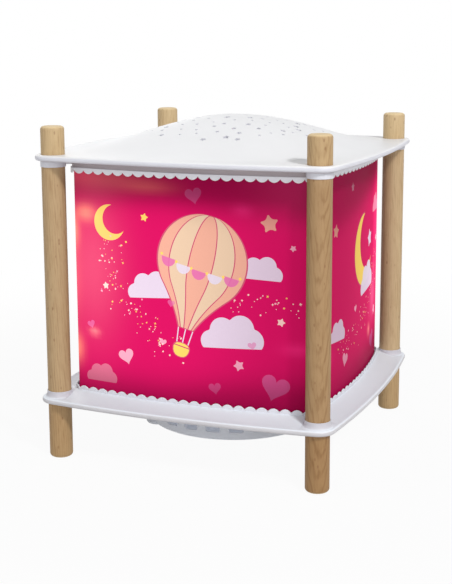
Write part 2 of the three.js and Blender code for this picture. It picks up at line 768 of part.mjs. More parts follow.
addPart(lantern, 'lamp_deck', deckGeometry(), colours.white, 0.5);
addEach('deck_screw', around(lockLugCount, lockAzimuth, (azimuth) => turned(
  screw(deckTop + seatGap, screwLength, screwBossCentre), azimuth)));

// Lamp stem with its flange, two screws, and the ceramic holder on top
const stemScrewLength = stemFlangeThickness + deckThickness + screwHeadHeight;

function stemGeometry() {
  const flange = cylinder(stemFlangeRadius, stemBottom, stemBottom + stemFlangeThickness, 0, 0, 24);
  const column = cylinder(stemRadius, stemBottom, stemTop, 0, 0, 16);
  const holes = [-1, 1].map((side) => cylinder(screwRadius + seatGap, stemBottom - overrun,
    stemBottom + stemFlangeThickness + overrun, side * stemScrewCentre, 0, 8));
  const bore = cylinder(stemBore, stemBottom - overrun, stemTop + overrun, 0, 0, 16);
  return cut(join([flange, column]), [...holes, bore]);
}

function holderGeometry() {
  const depth = holderTop - bulbPinLength - seatGap;
  const holes = [-1, 1].map((side) => cylinder(bulbPinRadius + seatGap, depth, holderTop + overrun,
    side * bulbPinSpacing / 2, 0, 8));
  return cut(cylinder(holderRadius, holderBottom, holderTop, 0, 0, 20), holes);
}

// Capsule bulb: flat pinch below, round-topped envelope above
function bulbGeometry() {
  const pinch = box(pinchWidth, pinchThickness, pinchBottom, pinchBottom + pinchHeight);
  const low = pinchBottom + pinchHeight - overrun;
  const crown = pinchBottom + bulbHeight - bulbRadius;
  const turns = [0, Math.PI / 8, Math.PI / 4, (3 * Math.PI) / 8];
  const dome = turns.map((turn) => [bulbRadius * Math.cos(turn), crown + bulbRadius * Math.sin(turn)]);
  const shoulder = low + bulbShoulderShare * bulbRadius;
  const envelope = lathe([[0, low], [pinchThickness / 2, low], [bulbRadius, shoulder], ...dome,
    [0, crown + bulbRadius]], 16);
  return join([pinch, envelope]);
}

function bulbPins() {
  return [-1, 1].map((side) => cylinder(bulbPinRadius, holderTop - bulbPinLength,
    pinchBottom - seatGap, side * bulbPinSpacing / 2, 0, 8));
}

addPart(lantern, 'lamp_stem', stemGeometry(), colours.aluminium, 0.4, 1);
addEach('stem_screw', [-1, 1].map((side) => screw(
  stemBottom + stemFlangeThickness + seatGap, stemScrewLength, side * stemScrewCentre)));
addPart(lantern, 'lamp_holder', holderGeometry(), colours.ceramic, 0.6);
addPart(lantern, 'bulb_glass', bulbGeometry(), colours.glass, 0.1);
addEach('bulb_pin', bulbPins());

// A group whose +X points out of the housing's rear wall at an azimuth, at the height of the fittings
function fittingGroup(azimuth) {
  const group = new THREE.Group();
  group.rotation.z = radians(azimuth);
  group.position.set(fittingFace * Math.cos(radians(azimuth)), fittingFace * Math.sin(radians(azimuth)),
    fittingHeight);
  lantern.add(group);
  return group;
}

// Inlet socket: flanged barrel with a blind bore, and the contact pin in the middle of it
function inletGeometry() {
  const face = seatGap + inletFlangeThickness;
  const barrel = barAlongX(inletRadius, seatGap - inletDepth, face, 20);
  const flange = barAlongX(inletFlangeRadius, seatGap, face, 20);
  const bore = barAlongX(inletBore, face - inletBoreDepth, face + overrun, 16);
  const root = face - inletBoreDepth;
  const pin = barAlongX(inletPinRadius, root - overrun, root + inletPinLength, 8);
  return toGeometry(toSolid(join([barrel, flange])).subtract(toSolid(bore)).add(toSolid(pin)));
}

// Rocker switch: a bezel with a box behind it, and the rocker between its side walls
const bezelFace = seatGap + switchBezelThickness;
const rockerPivot = bezelFace - rockerPivotDepth;
const switchBack = bezelFace - switchBodyDepth;

function switchFrameGeometry() {
  const across = (width, height, from, to) => new THREE.BoxGeometry(to - from, width, height)
    .translate((from + to) / 2, 0, 0);
  const bezel = across(switchBezelWidth, switchBezelHeight, seatGap, bezelFace);
  const body = across(switchBodyWidth, switchBodyHeight, switchBack, seatGap + switchBezelThickness / 2);
  const cavity = across(switchBodyWidth - 2 * switchShell, switchBodyHeight - 2 * switchShell,
    switchBack + switchShell, bezelFace + overrun);
  return cut(join([bezel, body]), [cavity]);
}

function rockerGeometry() {
  const half = rockerLength / 2;
  const back = rockerPivotDepth - rockerDepth;
  const heel = rockerHeelShare * half;
  const crest = rockerPivotDepth + rockerCrest;
  const outline = [[back, -heel], [0, -half], [crest, -half],
    [rockerPivotDepth - rockerDishShare * rockerCrest, 0], [crest, half], [0, half], [back, heel]]
    .map(([x, y]) => new THREE.Vector2(x, y));
  const height = switchBodyHeight / 2 - switchShell - rockerSideGap;
  return prism(outline, [], -height, height);
}

const inletFitting = fittingGroup(fittingSlots.inlet);
addPart(inletFitting, 'power_inlet', inletGeometry(), colours.black, 0.4);
const switchFitting = fittingGroup(fittingSlots.rocker);
addPart(switchFitting, 'switch_frame', switchFrameGeometry(), colours.white, 0.35);
const rocker = addPart(switchFitting, 'switch_rocker', rockerGeometry(), colours.white, 0.3);
rocker.position.x = rockerPivot;
rocker.rotation.z = radians(rockerTilt);

// Point inside the housing behind a fitting: inward of its pad face, and sideways of its axis
function behind(azimuth, inward, sideways, height) {
  return new THREE.Vector3(fittingFace - inward, sideways, height).applyAxisAngle(
    new THREE.Vector3(0, 0, 1), radians(azimuth));
}

// Leads: inlet to switch, and one each from inlet and switch up through the stem to the holder
const inletBack = inletDepth + leadRadius;
const switchRear = leadRadius - switchBack;
const leadEnd = holderBottom - seatGap;
const leadLow = fittingHeight - leadSag;
const leadLaneShares = [0.32, 0.62];
const wallClearDepth = fittingFace - innerWall(leadLow) + leadRadius + seatGap;

// Depth at which a lead has run straight in, past the wall, and may turn
function turnDepth(depth) {
  return Math.max(depth + leadStub, wallClearDepth);
}

// First points of a lead: out of a fitting's back and straight inward
function leadStart(azimuth, depth, sideways) {
  return [depth, turnDepth(depth)].map((inward) => behind(azimuth, inward, sideways, fittingHeight));
}

function stemLead(azimuth, depth, sideways, lane) {
  const run = fittingFace - turnDepth(depth);
  const lanes = leadLaneShares.map((share) => behind(azimuth, fittingFace - (1 - share) * run, sideways,
    leadLow));
  return wire([...leadStart(azimuth, depth, sideways), ...lanes,
    new THREE.Vector3(lane, 0, deckBottom), new THREE.Vector3(lane, 0, (deckTop + leadEnd) / 2),
    new THREE.Vector3(lane, 0, leadEnd)], leadRadius, leadSides, 20);
}

function bridgeLead() {
  const middle = new THREE.Vector3(0, fittingFace - turnDepth(inletBack) - leadSpacing, leadLow);
  return wire([...leadStart(inletAzimuth, inletBack, leadSpacing / 2), middle,
    ...leadStart(switchAzimuth, switchRear, -leadSpacing / 2).reverse()], leadRadius, leadSides, 12);
}

addPart(lantern, 'inlet_lead', stemLead(inletAzimuth, inletBack, -leadSpacing / 2, leadSpacing / 2),
  colours.redLead, 0.6);
addPart(lantern, 'switch_lead', stemLead(switchAzimuth, switchRear, leadSpacing / 2, -leadSpacing / 2),
  colours.blackLead, 0.6);
addPart(lantern, 'bridge_lead', bridgeLead(), colours.redLead, 0.6);

export default lantern;
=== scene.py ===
"""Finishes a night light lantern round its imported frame.

The fine pieces are beech posts, a moulded roof and base plate, scalloped edging, a printed film shade, a
printed drum with its bladed top, and the lamp unit under the base plate. Sizes are in millimetres until a
shape becomes a mesh, and each piece's place is in its mesh, so every object stands at the origin.
"""
from __future__ import annotations

import json
import logging
import math
import random
from dataclasses import dataclass, field
from enum import Enum
from typing import Any, Callable, Iterable, Mapping, Sequence

import bmesh
import bpy
import numpy as np
from mathutils import Matrix, Vector
from mathutils.geometry import delaunay_2d_cdt
from mathutils.kdtree import KDTree

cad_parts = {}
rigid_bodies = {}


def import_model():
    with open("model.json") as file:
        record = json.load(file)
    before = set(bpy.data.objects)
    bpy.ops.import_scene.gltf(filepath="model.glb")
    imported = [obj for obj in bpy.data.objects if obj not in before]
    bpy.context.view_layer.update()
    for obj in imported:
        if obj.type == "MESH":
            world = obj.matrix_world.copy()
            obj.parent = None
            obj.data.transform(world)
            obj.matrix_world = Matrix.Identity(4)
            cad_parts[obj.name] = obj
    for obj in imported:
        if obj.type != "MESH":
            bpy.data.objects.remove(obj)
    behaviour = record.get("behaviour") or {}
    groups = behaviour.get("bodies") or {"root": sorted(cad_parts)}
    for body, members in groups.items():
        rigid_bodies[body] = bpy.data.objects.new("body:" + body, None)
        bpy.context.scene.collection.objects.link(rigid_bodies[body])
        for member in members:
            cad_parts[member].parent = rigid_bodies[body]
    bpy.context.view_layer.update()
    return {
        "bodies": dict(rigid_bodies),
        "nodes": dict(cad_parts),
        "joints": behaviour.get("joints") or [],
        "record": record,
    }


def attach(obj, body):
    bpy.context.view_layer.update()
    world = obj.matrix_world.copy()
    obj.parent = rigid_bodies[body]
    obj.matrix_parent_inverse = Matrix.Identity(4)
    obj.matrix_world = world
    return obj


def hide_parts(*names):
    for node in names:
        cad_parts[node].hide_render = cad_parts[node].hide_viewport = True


LOG = logging.getLogger("lantern")
MM = 0.001
SEED = 11
POST_OFFSET = 73.1
POST_RADIUS = 6.25
CORNERS = (("front_right", 1, -1), ("front_left", -1, -1), ("back_left", -1, 1), ("back_right", 1, 1))
STRAIGHT = (0, 90, 180, 270)
DIAGONAL = (45, 135, 225, 315)
BLACK = (0.0, 0.0, 0.0)
WHITE = (1.0, 1.0, 1.0)

Socket = bpy.types.NodeSocket
Object = bpy.types.Object
Material = bpy.types.Material
Pair = tuple[float, float]
Triple = tuple[float, float, float]
Rgb = tuple[int, int, int]
Lit = Callable[[int, np.ndarray, np.ndarray], tuple[np.ndarray, np.ndarray]]


class Body(Enum):
    """Bodies of the lantern that move against each other."""

    FRAME = "lantern_frame"
    DRUM = "drum"
    LAMP = "lamp_unit"
    ROCKER = "rocker"


class Slot(Enum):
    """Material slots of the lantern's pieces."""

    BEECH = "beech"
    MOULDING = "white_moulding"
    HOUSING = "white_housing"
    SHADE = "shade_print"
    DRUM = "drum_print"
    STEEL = "steel"
    ALUMINIUM = "turbine_aluminium"
    BRASS = "brass"
    CERAMIC = "holder_ceramic"
    GLASS = "bulb_glass"
    BLACK = "black_plastic"
    ROCKER = "rocker_plastic"
    RED_LEAD = "lead_red"
    BLACK_LEAD = "lead_black"


def linear(colour: Sequence[float]) -> Triple:
    """Linear colour of an 8-bit sRGB one.

    Args:
        colour: Red, green and blue from 0 to 255.

    Returns:
        The same colour with linear parts from 0 to 1.
    """
    parts = [part / 255 for part in colour]
    return tuple(p / 12.92 if p <= 0.04045 else ((p + 0.055) / 1.055) ** 2.4 for p in parts)


def times(colour: Sequence[float], factor: float) -> Triple:
    """Colour with every part scaled."""
    return tuple(part * factor for part in colour)


# Node graphs


class Number:
    """A number in a node graph, on which Python's operators add Math nodes."""

    def __init__(self, graph: Graph, socket: Socket) -> None:
        """Wraps an output socket of the graph."""
        self.graph = graph
        self.socket = socket

    def _maths(self, operation: str, other: Any = None, flip: bool = False) -> Number:
        """Adds a Math node on this number.

        Args:
            operation: The node's operation.
            other: The second number, if the operation takes one.
            flip: Whether the second number comes first.

        Returns:
            The node's result.
        """
        values = [self] if other is None else [other, self] if flip else [self, other]
        node = self.graph.node("ShaderNodeMath", {"operation": operation}, dict(enumerate(values)))
        return Number(self.graph, node.outputs[0])

    def __add__(self, other: Any) -> Number:
        """Sum."""
        return self._maths("ADD", other)

    __radd__ = __add__

    def __sub__(self, other: Any) -> Number:
        """Difference."""
        return self._maths("SUBTRACT", other)

    def __rsub__(self, other: Any) -> Number:
        """Difference with this number last."""
        return self._maths("SUBTRACT", other, flip=True)

    def __mul__(self, other: Any) -> Number:
        """Product."""
        return self._maths("MULTIPLY", other)

    def __truediv__(self, other: Any) -> Number:
        """Quotient."""
        return self._maths("DIVIDE", other)

    def __pow__(self, other: Any) -> Number:
        """Power."""
        return self._maths("POWER", other)

    def __abs__(self) -> Number:
        """Size without its sign."""
        return self._maths("ABSOLUTE")

    def sine(self) -> Number:
        """Sine of the number in radians."""
        return self._maths("SINE")

    def cosine(self) -> Number:
        """Cosine of the number in radians."""
        return self._maths("COSINE")

    def root(self) -> Number:
        """Square root."""
        return self._maths("SQRT")

    def least(self, other: Any) -> Number:
        """The smaller of two numbers."""
        return self._maths("MINIMUM", other)

    def ramp(self, low: float, high: float) -> Number:
        """Smooth step of the number.

        Args:
            low: The value that becomes 0.
            high: The value that becomes 1.

        Returns:
            A number from 0 to 1.
        """
        node = self.graph.node("ShaderNodeMapRange", {"interpolation_type": "SMOOTHSTEP"},
                               {"Value": self, "From Min": low, "From Max": high})
        return Number(self.graph, node.outputs[0])


class Graph:
    """A node tree that is filled by one method."""

    def __init__(self, tree: bpy.types.NodeTree) -> None:
        """Wraps a node tree."""
        self.tree = tree

    def node(self, kind: str, settings: Mapping[str, Any] | None = None,
             sockets: Mapping[str | int, Any] | None = None) -> bpy.types.Node:
        """Adds a node.

        Args:
            kind: The node's type.
            settings: Properties of the node, which are set first.
            sockets: Values or links of its inputs, by name or number.

        Returns:
            The new node.
        """
        node = self.tree.nodes.new(kind)
        for name, value in (settings or {}).items():
            setattr(node, name, value)
        for name, value in (sockets or {}).items():
            self.feed(node.inputs[name], value)
        return node

    def feed(self, socket: Socket, value: Any) -> None:
        """Links or sets one input socket.

        Args:
            socket: The input socket.
            value: A number, a link or a constant.
        """
        if isinstance(value, Number):
            value = value.socket
        if isinstance(value, Socket):
            self.tree.links.new(value, socket)
        elif socket.type == "RGBA":
            socket.default_value = (*value, 1.0)
        else:
            socket.default_value = value

    def number(self, socket: Socket) -> Number:
        """The socket as a number."""
        return Number(self, socket)

    def parts(self, vector: Socket) -> list[Number]:
        """The three parts of a vector."""
        node = self.node("ShaderNodeSeparateXYZ", None, {0: vector})
        return [self.number(socket) for socket in node.outputs]


class Shader(Graph):
    """A material's node tree, with the steps that the lantern's finishes share."""

    def __init__(self, name: str) -> None:
        """Starts an empty material.

        Args:
            name: The material's name.
        """
        self.material = bpy.data.materials.new(name)
        self.material.use_nodes = True
        super().__init__(self.material.node_tree)
        self.tree.nodes.clear()

    def place(self) -> Socket:
        """Object coordinates, in metres."""
        return self.node("ShaderNodeTexCoord").outputs["Object"]

    def upward(self) -> Number:
        """Upward part of the surface's normal."""
        return self.parts(self.node("ShaderNodeNewGeometry").outputs["Normal"])[2]

    def attribute(self, name: str) -> bpy.types.Node:
        """Node that reads an attribute of the mesh."""
        return self.node("ShaderNodeAttribute", {"attribute_name": name})

    def scaled(self, vector: Socket, scale: Triple) -> Socket:
        """A vector times a constant vector."""
        return self.node("ShaderNodeVectorMath", {"operation": "MULTIPLY"}, {0: vector, 1: scale}).outputs[0]

    def dimmed(self, colour: Socket, factor: Any) -> Socket:
        """A colour times a number."""
        return self.node("ShaderNodeVectorMath", {"operation": "SCALE"},
                         {0: colour, "Scale": factor}).outputs[0]

    def noise(self, vector: Socket, scale: float | Triple, detail: float = 2.0,
              roughness: float = 0.5) -> Number:
        """Soft noise between about 0.2 and 0.8.

        Args:
            vector: Where the noise is read.
            scale: Cells for each unit of the vector, in one number or one for each axis.
            detail: Octaves.
            roughness: Share of each next octave.

        Returns:
            The noise.
        """
        if isinstance(scale, tuple):
            vector, scale = self.scaled(vector, scale), 1.0
        node = self.node("ShaderNodeTexNoise", {"noise_dimensions": "3D"},
                         {"Vector": vector, "Scale": scale, "Detail": detail, "Roughness": roughness})
        return self.number(node.outputs[0])

    def dots(self, vector: Socket, scale: Triple) -> tuple[Number, Socket]:
        """Distance from the nearest of scattered dots, and that dot's random colour.

        Args:
            vector: Where the dots are read.
            scale: Dots for each unit of each axis.

        Returns:
            The distance, and the colour.
        """
        node = self.node("ShaderNodeTexVoronoi", {"feature": "F1"},
                         {"Vector": self.scaled(vector, scale), "Scale": 1.0})
        return self.number(node.outputs["Distance"]), node.outputs["Color"]

    def blend(self, factor: Any, first: Any, second: Any, mode: str = "MIX") -> Socket:
        """Mix of two colours.

        Args:
            factor: Share of the second colour.
            first: First colour or link.
            second: Second colour or link.
            mode: Blend type.

        Returns:
            The mixed colour.
        """
        node = self.node("ShaderNodeMix", {"data_type": "RGBA", "blend_type": mode},
                         {0: factor, 6: first, 7: second})
        return node.outputs[2]

    def tinted(self, factor: Any, colour: Any, tone: Sequence[float]) -> Socket:
        """The colour times a tone, by a factor."""
        return self.blend(factor, colour, tone, "MULTIPLY")

    def glow(self, factor: Any, colour: Sequence[float], strength: float = 1.0) -> dict[str, Any]:
        """Inputs of a surface that glows by a factor."""
        return {"Emission Color": self.blend(factor, BLACK, colour), "Emission Strength": strength}

    def bump(self, height: Number, distance: float, strength: float = 1.0) -> Socket:
        """Normal of a small relief.

        Args:
            height: The relief from 0 to 1.
            distance: What 1 stands for, in metres.
            strength: Strength of the relief.

        Returns:
            The normal.
        """
        return self.node("ShaderNodeBump", None, {"Height": height, "Distance": distance,
                                                  "Strength": strength}).outputs[0]

    def surface(self, sockets: Mapping[str, Any]) -> Material:
        """Closes the material with a principled surface.

        Args:
            sockets: Values or links of the surface's inputs.

        Returns:
            The finished material.
        """
        surface = self.node("ShaderNodeBsdfPrincipled", None, sockets)
        self.node("ShaderNodeOutputMaterial", None, {"Surface": surface.outputs[0]})
        return self.material


# Finishes


@dataclass(frozen=True)
class Beech:
    """Sanded beech: growth rings cut by the round post, fine fibres and short brown flecks.

    The stub above the roof's underside is lightened with painted light, and the foot below the base plate
    darkened with painted shade. Their heights are in metres, and the sizes of the wood's own pattern in
    millimetres.
    """

    light: Rgb = (204, 178, 139)
    dark: Rgb = (174, 143, 103)
    brown: Rgb = (206, 187, 166)
    fleck: Rgb = (132, 92, 58)
    cut_end: Rgb = (244, 220, 174)
    # Painted light makes the stub above the roof lighter, and painted shade makes the foot under the base
    # plate darker.
    stub: Pair = (0.163, 0.167)
    stub_painted_light: Triple = (1.04, 1.05, 1.01)
    foot: Pair = (0.03, 0.034)
    foot_painted_shade: Triple = (0.9, 0.84, 0.74)
    ring_spacing: float = 1.25
    ring_wander: float = 7.0
    ring_lean: float = 0.03
    base_tone: float = -0.62
    pore_cover: float = 0.22
    fleck_cover: float = 0.6
    end_facing: Pair = (0.3, 0.85)
    end_lightening: float = 0.6
    relief_depth: float = 0.00012

    def make(self) -> Material:
        """Writes the material.

        Returns:
            The beech material, which reads the posts' grain attribute in millimetres.
        """
        shader = Shader("beech")
        grain = shader.attribute("grain").outputs["Vector"]
        x, y, z = shader.parts(grain)
        wander = shader.noise(grain, (0.05, 0.05, 0.012), 4.0, 0.62) - 0.5
        reach = (x * x + y * y).root() + wander * self.ring_wander + z * self.ring_lean
        ring = (reach * (2 * math.pi / self.ring_spacing)).sine() * 0.5 + 0.5
        late = ring ** 3 * shader.noise(grain, (0.16, 0.16, 0.02)).ramp(0.3, 0.62)
        fibre = shader.noise(grain, (3.6, 3.6, 0.1), 4.0, 0.65)
        blotch = shader.noise(grain, (0.3, 0.3, 0.07), 3.0, 0.6)
        streak = shader.noise(grain, (1.1, 1.1, 0.11), 3.0, 0.6).ramp(0.4, 0.75)
        distance, chance = shader.dots(grain, (0.42, 0.42, 0.2))
        red = shader.node("ShaderNodeSeparateColor", None, {0: chance}).outputs[0]
        spot = (1 - distance.ramp(0.1, 0.26)) * shader.number(red).ramp(0.76, 0.84)
        pore = 1 - shader.dots(grain, (2.4, 2.4, 0.5))[0].ramp(0.06, 0.2)
        heart = shader.number(shader.attribute("heartwood").outputs["Fac"])
        tone = late * (0.2 + heart * 0.36) + fibre * 0.75 + blotch * 0.6 + streak * 0.4 + self.base_tone
        colour = shader.blend(tone.ramp(-0.1, 1.0), linear(self.light), linear(self.dark))
        colour = shader.tinted(heart, colour, linear(self.brown))
        height = shader.parts(shader.place())[2]
        # Painted light on the stub above the roof and painted shade on the foot under the base plate.
        colour = shader.tinted(height.ramp(*self.stub), colour, self.stub_painted_light)
        colour = shader.tinted(1 - height.ramp(*self.foot), colour, self.foot_painted_shade)
        colour = shader.blend(pore * self.pore_cover, colour, linear(self.fleck))
        end = abs(shader.upward()).ramp(*self.end_facing)
        colour = shader.blend(end * self.end_lightening, colour, linear(self.cut_end))
        colour = shader.blend(spot * (1 - end) * self.fleck_cover, colour, linear(self.fleck))
        relief = fibre * 0.6 + late * 0.2 - pore * 0.4
        return shader.surface({
            "Base Color": colour, "Roughness": 0.5 + fibre * 0.22, "IOR": 1.45,
            "Normal": shader.bump(relief, self.relief_depth, 0.7)})


@dataclass(frozen=True)
class Moulding:
    """Moulded plastic: an even colour with faint flow clouds and a fine tool grain."""

    name: str
    colour: Rgb
    roughness: float = 0.35
    grain_size: float = 0.35
    grain_depth: float = 0.006
    cloud: float = 0.03
    coat: float = 0.0
    gloss: float = 0.35

    def make(self) -> Material:
        """Writes the material.

        Returns:
            The plastic material.
        """
        shader = Shader(self.name)
        place = shader.place()
        cloud = shader.noise(place, 38.0, 3.0)
        tool = shader.noise(place, 1 / (self.grain_size * MM), 2.0, 0.6)
        base = linear(self.colour)
        even = shader.blend(cloud, base, times(base, 1 - 2 * self.cloud))
        colour, glow = self.painted_light_and_shade(shader, shader.parts(place), even)
        return shader.surface({
            **glow,
            "Base Color": colour,
            "Roughness": self.roughness + (tool - 0.5) * 0.12 + (cloud - 0.5) * 0.1,
            "Coat Weight": self.coat, "IOR": 1.49, "Specular IOR Level": self.gloss,
            "Normal": shader.bump(tool, self.grain_depth * MM)})

    def painted_light_and_shade(self, shader: Shader, place: Sequence[Number], colour: Socket) -> tuple[Socket, dict[str, Any]]:
        """Colour with painted light and shade, and the inputs of a painted glow: plain plastic has none."""
        return colour, {}


@dataclass(frozen=True)
class PlateMoulding(Moulding):
    """Moulding of roof, base plate and edgings, with painted shade in their recesses and on steep faces.

    Pairs are the places, in metres, between which a tone comes or goes.
    """

    # Painted shade darkens the groove under the roof, steep faces, the base's rim and the collars' feet and
    # tints the base's level faces; painted light makes the upper band glow.
    corner: Pair = (0.0657, 0.0662)
    side_groove: Pair = (0.1579, 0.1582)
    corner_groove: Pair = (0.1614, 0.1618)
    roof_face: Pair = (0.1619, 0.1623)
    groove_painted_shade: Triple = (0.62, 0.5456, 0.5332)
    upper_band: tuple[Pair, Pair] = ((0.15, 0.152), (0.1577, 0.1579))
    band_painted_light: float = 0.14
    level_facing: Pair = (0.3, 0.85)
    lower_part: Pair = (0.08, 0.1)
    level_painted_shade: Triple = (0.945, 1.0, 1.06)
    steep_painted_shade: Triple = (0.8, 0.8, 0.85)
    rim_top: Pair = (0.0334, 0.034)
    rim_painted_shade: Triple = (0.88, 0.86, 0.83)
    collar_foot: Pair = (0.0338, 0.0346)
    collar_painted_shade: Triple = (0.84, 0.81, 0.81)

    def painted_light_and_shade(self, shader: Shader, place: Sequence[Number], colour: Socket) -> tuple[Socket, dict[str, Any]]:
        """Paints shade into the groove under the roof and onto steep faces, rims and collar feet, tints level
        faces of the base with painted shade, and paints light onto the band in front of the film.

        Args:
            shader: The material that is written.
            place: The place's three parts.
            colour: The even colour.

        Returns:
            The colour, and the inputs of the painted glow.
        """
        x, y, z = place
        corner = abs(x).least(abs(y)).ramp(*self.corner)
        # Painted shade in the groove under the roof, along the sides and, fainter, at the corners.
        groove_shade = z.ramp(*self.side_groove) * (1 - corner) + z.ramp(*self.corner_groove) * corner * 0.7
        colour = shader.blend(groove_shade * (1 - z.ramp(*self.roof_face)), colour, self.groove_painted_shade)
        # Painted light: the upper band in front of the film glows.
        foot, tip = self.upper_band
        band = z.ramp(*foot) * (1 - z.ramp(*tip))
        level = shader.upward().ramp(*self.level_facing)
        below = 1 - z.ramp(*self.lower_part)
        # Painted shade on the base's level faces, on steep faces, on the base's rim and at the collars' feet.
        for factor, tone in ((below * level, self.level_painted_shade), (1 - level, self.steep_painted_shade),
                             ((1 - z.ramp(*self.rim_top)) * (1 - level), self.rim_painted_shade),
                             (below * z.ramp(*self.collar_foot) * corner, self.collar_painted_shade)):
            colour = shader.tinted(factor, colour, tone)
        return colour, shader.glow(band, times(linear(self.colour), self.band_painted_light))


@dataclass(frozen=True)
class LitMoulding(Moulding):
    """Moulding of the lamp housing, with painted light in its hollow, where the bulb shines."""

    inner_painted_light: float = 0.1
    hollow: Pair = (0.0478, 0.0494)

    def painted_light_and_shade(self, shader: Shader, place: Sequence[Number], colour: Socket) -> tuple[Socket, dict[str, Any]]:
        """Paints light onto what lies inside the wall.

        Args:
            shader: The material that is written.
            place: The place's three parts.
            colour: The even colour.

        Returns:
            The colour, and the inputs of the painted glow.
        """
        x, y, _ = place
        # Painted light: surfaces inside the wall glow as if lit by the bulb.
        hollow = 1 - (x * x + y * y).root().ramp(*self.hollow)
        return colour, shader.glow(hollow, times(linear(self.colour), self.inner_painted_light))


@dataclass(frozen=True)
class Metal:
    """Bare metal with fine drawing lines along one axis."""

    name: str
    colour: Rgb
    roughness: float = 0.3
    stretch: Triple = (9000.0, 9000.0, 500.0)
    dulling: float = 0.82

    def make(self) -> Material:
        """Writes the material.

        Returns:
            The metal material.
        """
        shader = Shader(self.name)
        place = shader.place()
        lines = shader.noise(place, self.stretch, 2.0, 0.6)
        cloud = shader.noise(place, 120.0)
        base = linear(self.colour)
        return shader.surface({
            "Base Color": shader.blend(cloud, base, times(base, self.dulling)), "Metallic": 1.0,
            "Roughness": self.roughness + (lines - 0.5) * 0.25,
            "Normal": shader.bump(lines, 0.00001, 0.6)})


@dataclass(frozen=True)
class Ceramic:
    """Unglazed ceramic with a sandy grain."""

    colour: Rgb = (238, 233, 220)
    speck: Rgb = (150, 140, 122)

    def make(self) -> Material:
        """Writes the material.

        Returns:
            The ceramic material.
        """
        shader = Shader("ceramic")
        place = shader.place()
        sand = shader.noise(place, 4200.0, 3.0, 0.7)
        speck = shader.noise(place, 1500.0, 1.0).ramp(0.66, 0.74)
        base = shader.blend(speck * 0.35, linear(self.colour), linear(self.speck))
        return shader.surface({"Base Color": base, "Roughness": 0.62 + sand * 0.2,
                               "Normal": shader.bump(sand, 0.00003, 0.8)})


@dataclass(frozen=True)
class Quartz:
    """Clear glass of the bulb, warm where the filament lights it."""

    clear: Triple = (0.93, 0.94, 0.95)
    lit: Rgb = (255, 246, 226)
    warmth: Rgb = (255, 214, 150)
    filament: Pair = (0.066, 0.082)

    def make(self) -> Material:
        """Writes the material.

        Returns:
            The glass material.
        """
        shader = Shader("quartz")
        place = shader.place()
        near = shader.parts(place)[2].ramp(*self.filament)
        ripple = shader.noise(place, 700.0)
        return shader.surface({
            "Base Color": shader.blend(near, self.clear, linear(self.lit)),
            "Roughness": 0.05 + ripple * 0.05, "IOR": 1.46, "Transmission Weight": 0.6,
            **shader.glow(near, linear(self.warmth), 3.0)})


@dataclass(frozen=True)
class PrintedFilm:
    """Printed plastic film, lit from inside: it reads its ink and its light from the mesh."""

    name: str
    reflected: float = 0.3
    gloss: float = 0.01
    held_back: float = 1.0
    dimmed_gloss: float = 0.85

    def make(self) -> Material:
        """Writes the material.

        Returns:
            The film material.
        """
        shader = Shader(self.name)
        place = shader.place()
        grain = shader.noise(place, 2600.0, 2.0, 0.6)
        wave = shader.noise(place, 30.0, 1.0)
        path = shader.node("ShaderNodeLightPath")
        spill = shader.number(path.outputs["Is Diffuse Ray"]) * self.held_back
        spill = spill + shader.number(path.outputs["Is Glossy Ray"]) * self.dimmed_gloss
        ink, light = (shader.attribute(name).outputs["Color"] for name in ("ink", "light"))
        return shader.surface({
            "Base Color": shader.dimmed(ink, self.reflected), "Roughness": 0.46 + (grain - 0.5) * 0.1,
            "Specular IOR Level": self.gloss,
            "Emission Color": shader.dimmed(light, (0.94 + grain * 0.12) * (1 - spill)),
            "Emission Strength": 1.0, "Normal": shader.bump(wave + grain * 0.02, 0.0006, 0.5)})


# Shapes


@dataclass
class Shape:
    """Points in millimetres and the faces between them."""

    points: list[Vector] = field(default_factory=list)
    faces: list[tuple[int, ...]] = field(default_factory=list)

    def add(self, other: Shape) -> Shape:
        """Takes another shape's points and faces in.

        Args:
            other: The shape that is added.

        Returns:
            This shape.
        """
        start = len(self.points)
        self.points.extend(point.copy() for point in other.points)
        self.faces.extend(tuple(start + i for i in face) for face in other.faces)
        return self

    def moved(self, matrix: Matrix) -> Shape:
        """Copy of the shape under a matrix."""
        return Shape([matrix @ point for point in self.points], list(self.faces))

    def turned(self, degrees: float) -> Shape:
        """Copy of the shape, turned about the lantern's upright axis."""
        return self.moved(Matrix.Rotation(math.radians(degrees), 4, "Z"))

    def shifted(self, x: float, y: float, z: float = 0.0) -> Shape:
        """Copy of the shape, moved."""
        return self.moved(Matrix.Translation((x, y, z)))

    def round_axis(self, *azimuths: float) -> Shape:
        """Copies of the shape, turned about the lantern's upright axis."""
        return gathered(self.turned(azimuth) for azimuth in azimuths)

    def at_posts(self) -> Shape:
        """Copies of the shape, one at each post."""
        return gathered(self.shifted(sx * POST_OFFSET, sy * POST_OFFSET) for _, sx, sy in CORNERS)

    def paired(self, place: float) -> Shape:
        """Two copies of the shape, behind and before the axis."""
        return gathered(self.shifted(0, y) for y in (place, -place))

    def build(self, name: str, material: Material) -> Object:
        """Makes an object of the shape.

        Args:
            name: The object's name.
            material: Its material.

        Returns:
            An object at the origin whose faces point outwards.
        """
        piece = make_object(name, [point * MM for point in self.points], self.faces, material)
        tidy(piece)
        return piece


def gathered(shapes: Iterable[Shape]) -> Shape:
    """One shape of several.

    Args:
        shapes: The shapes, which stay as they are.

    Returns:
        Their points and faces in one.
    """
    whole = Shape()
    for shape in shapes:
        whole.add(shape)
    return whole


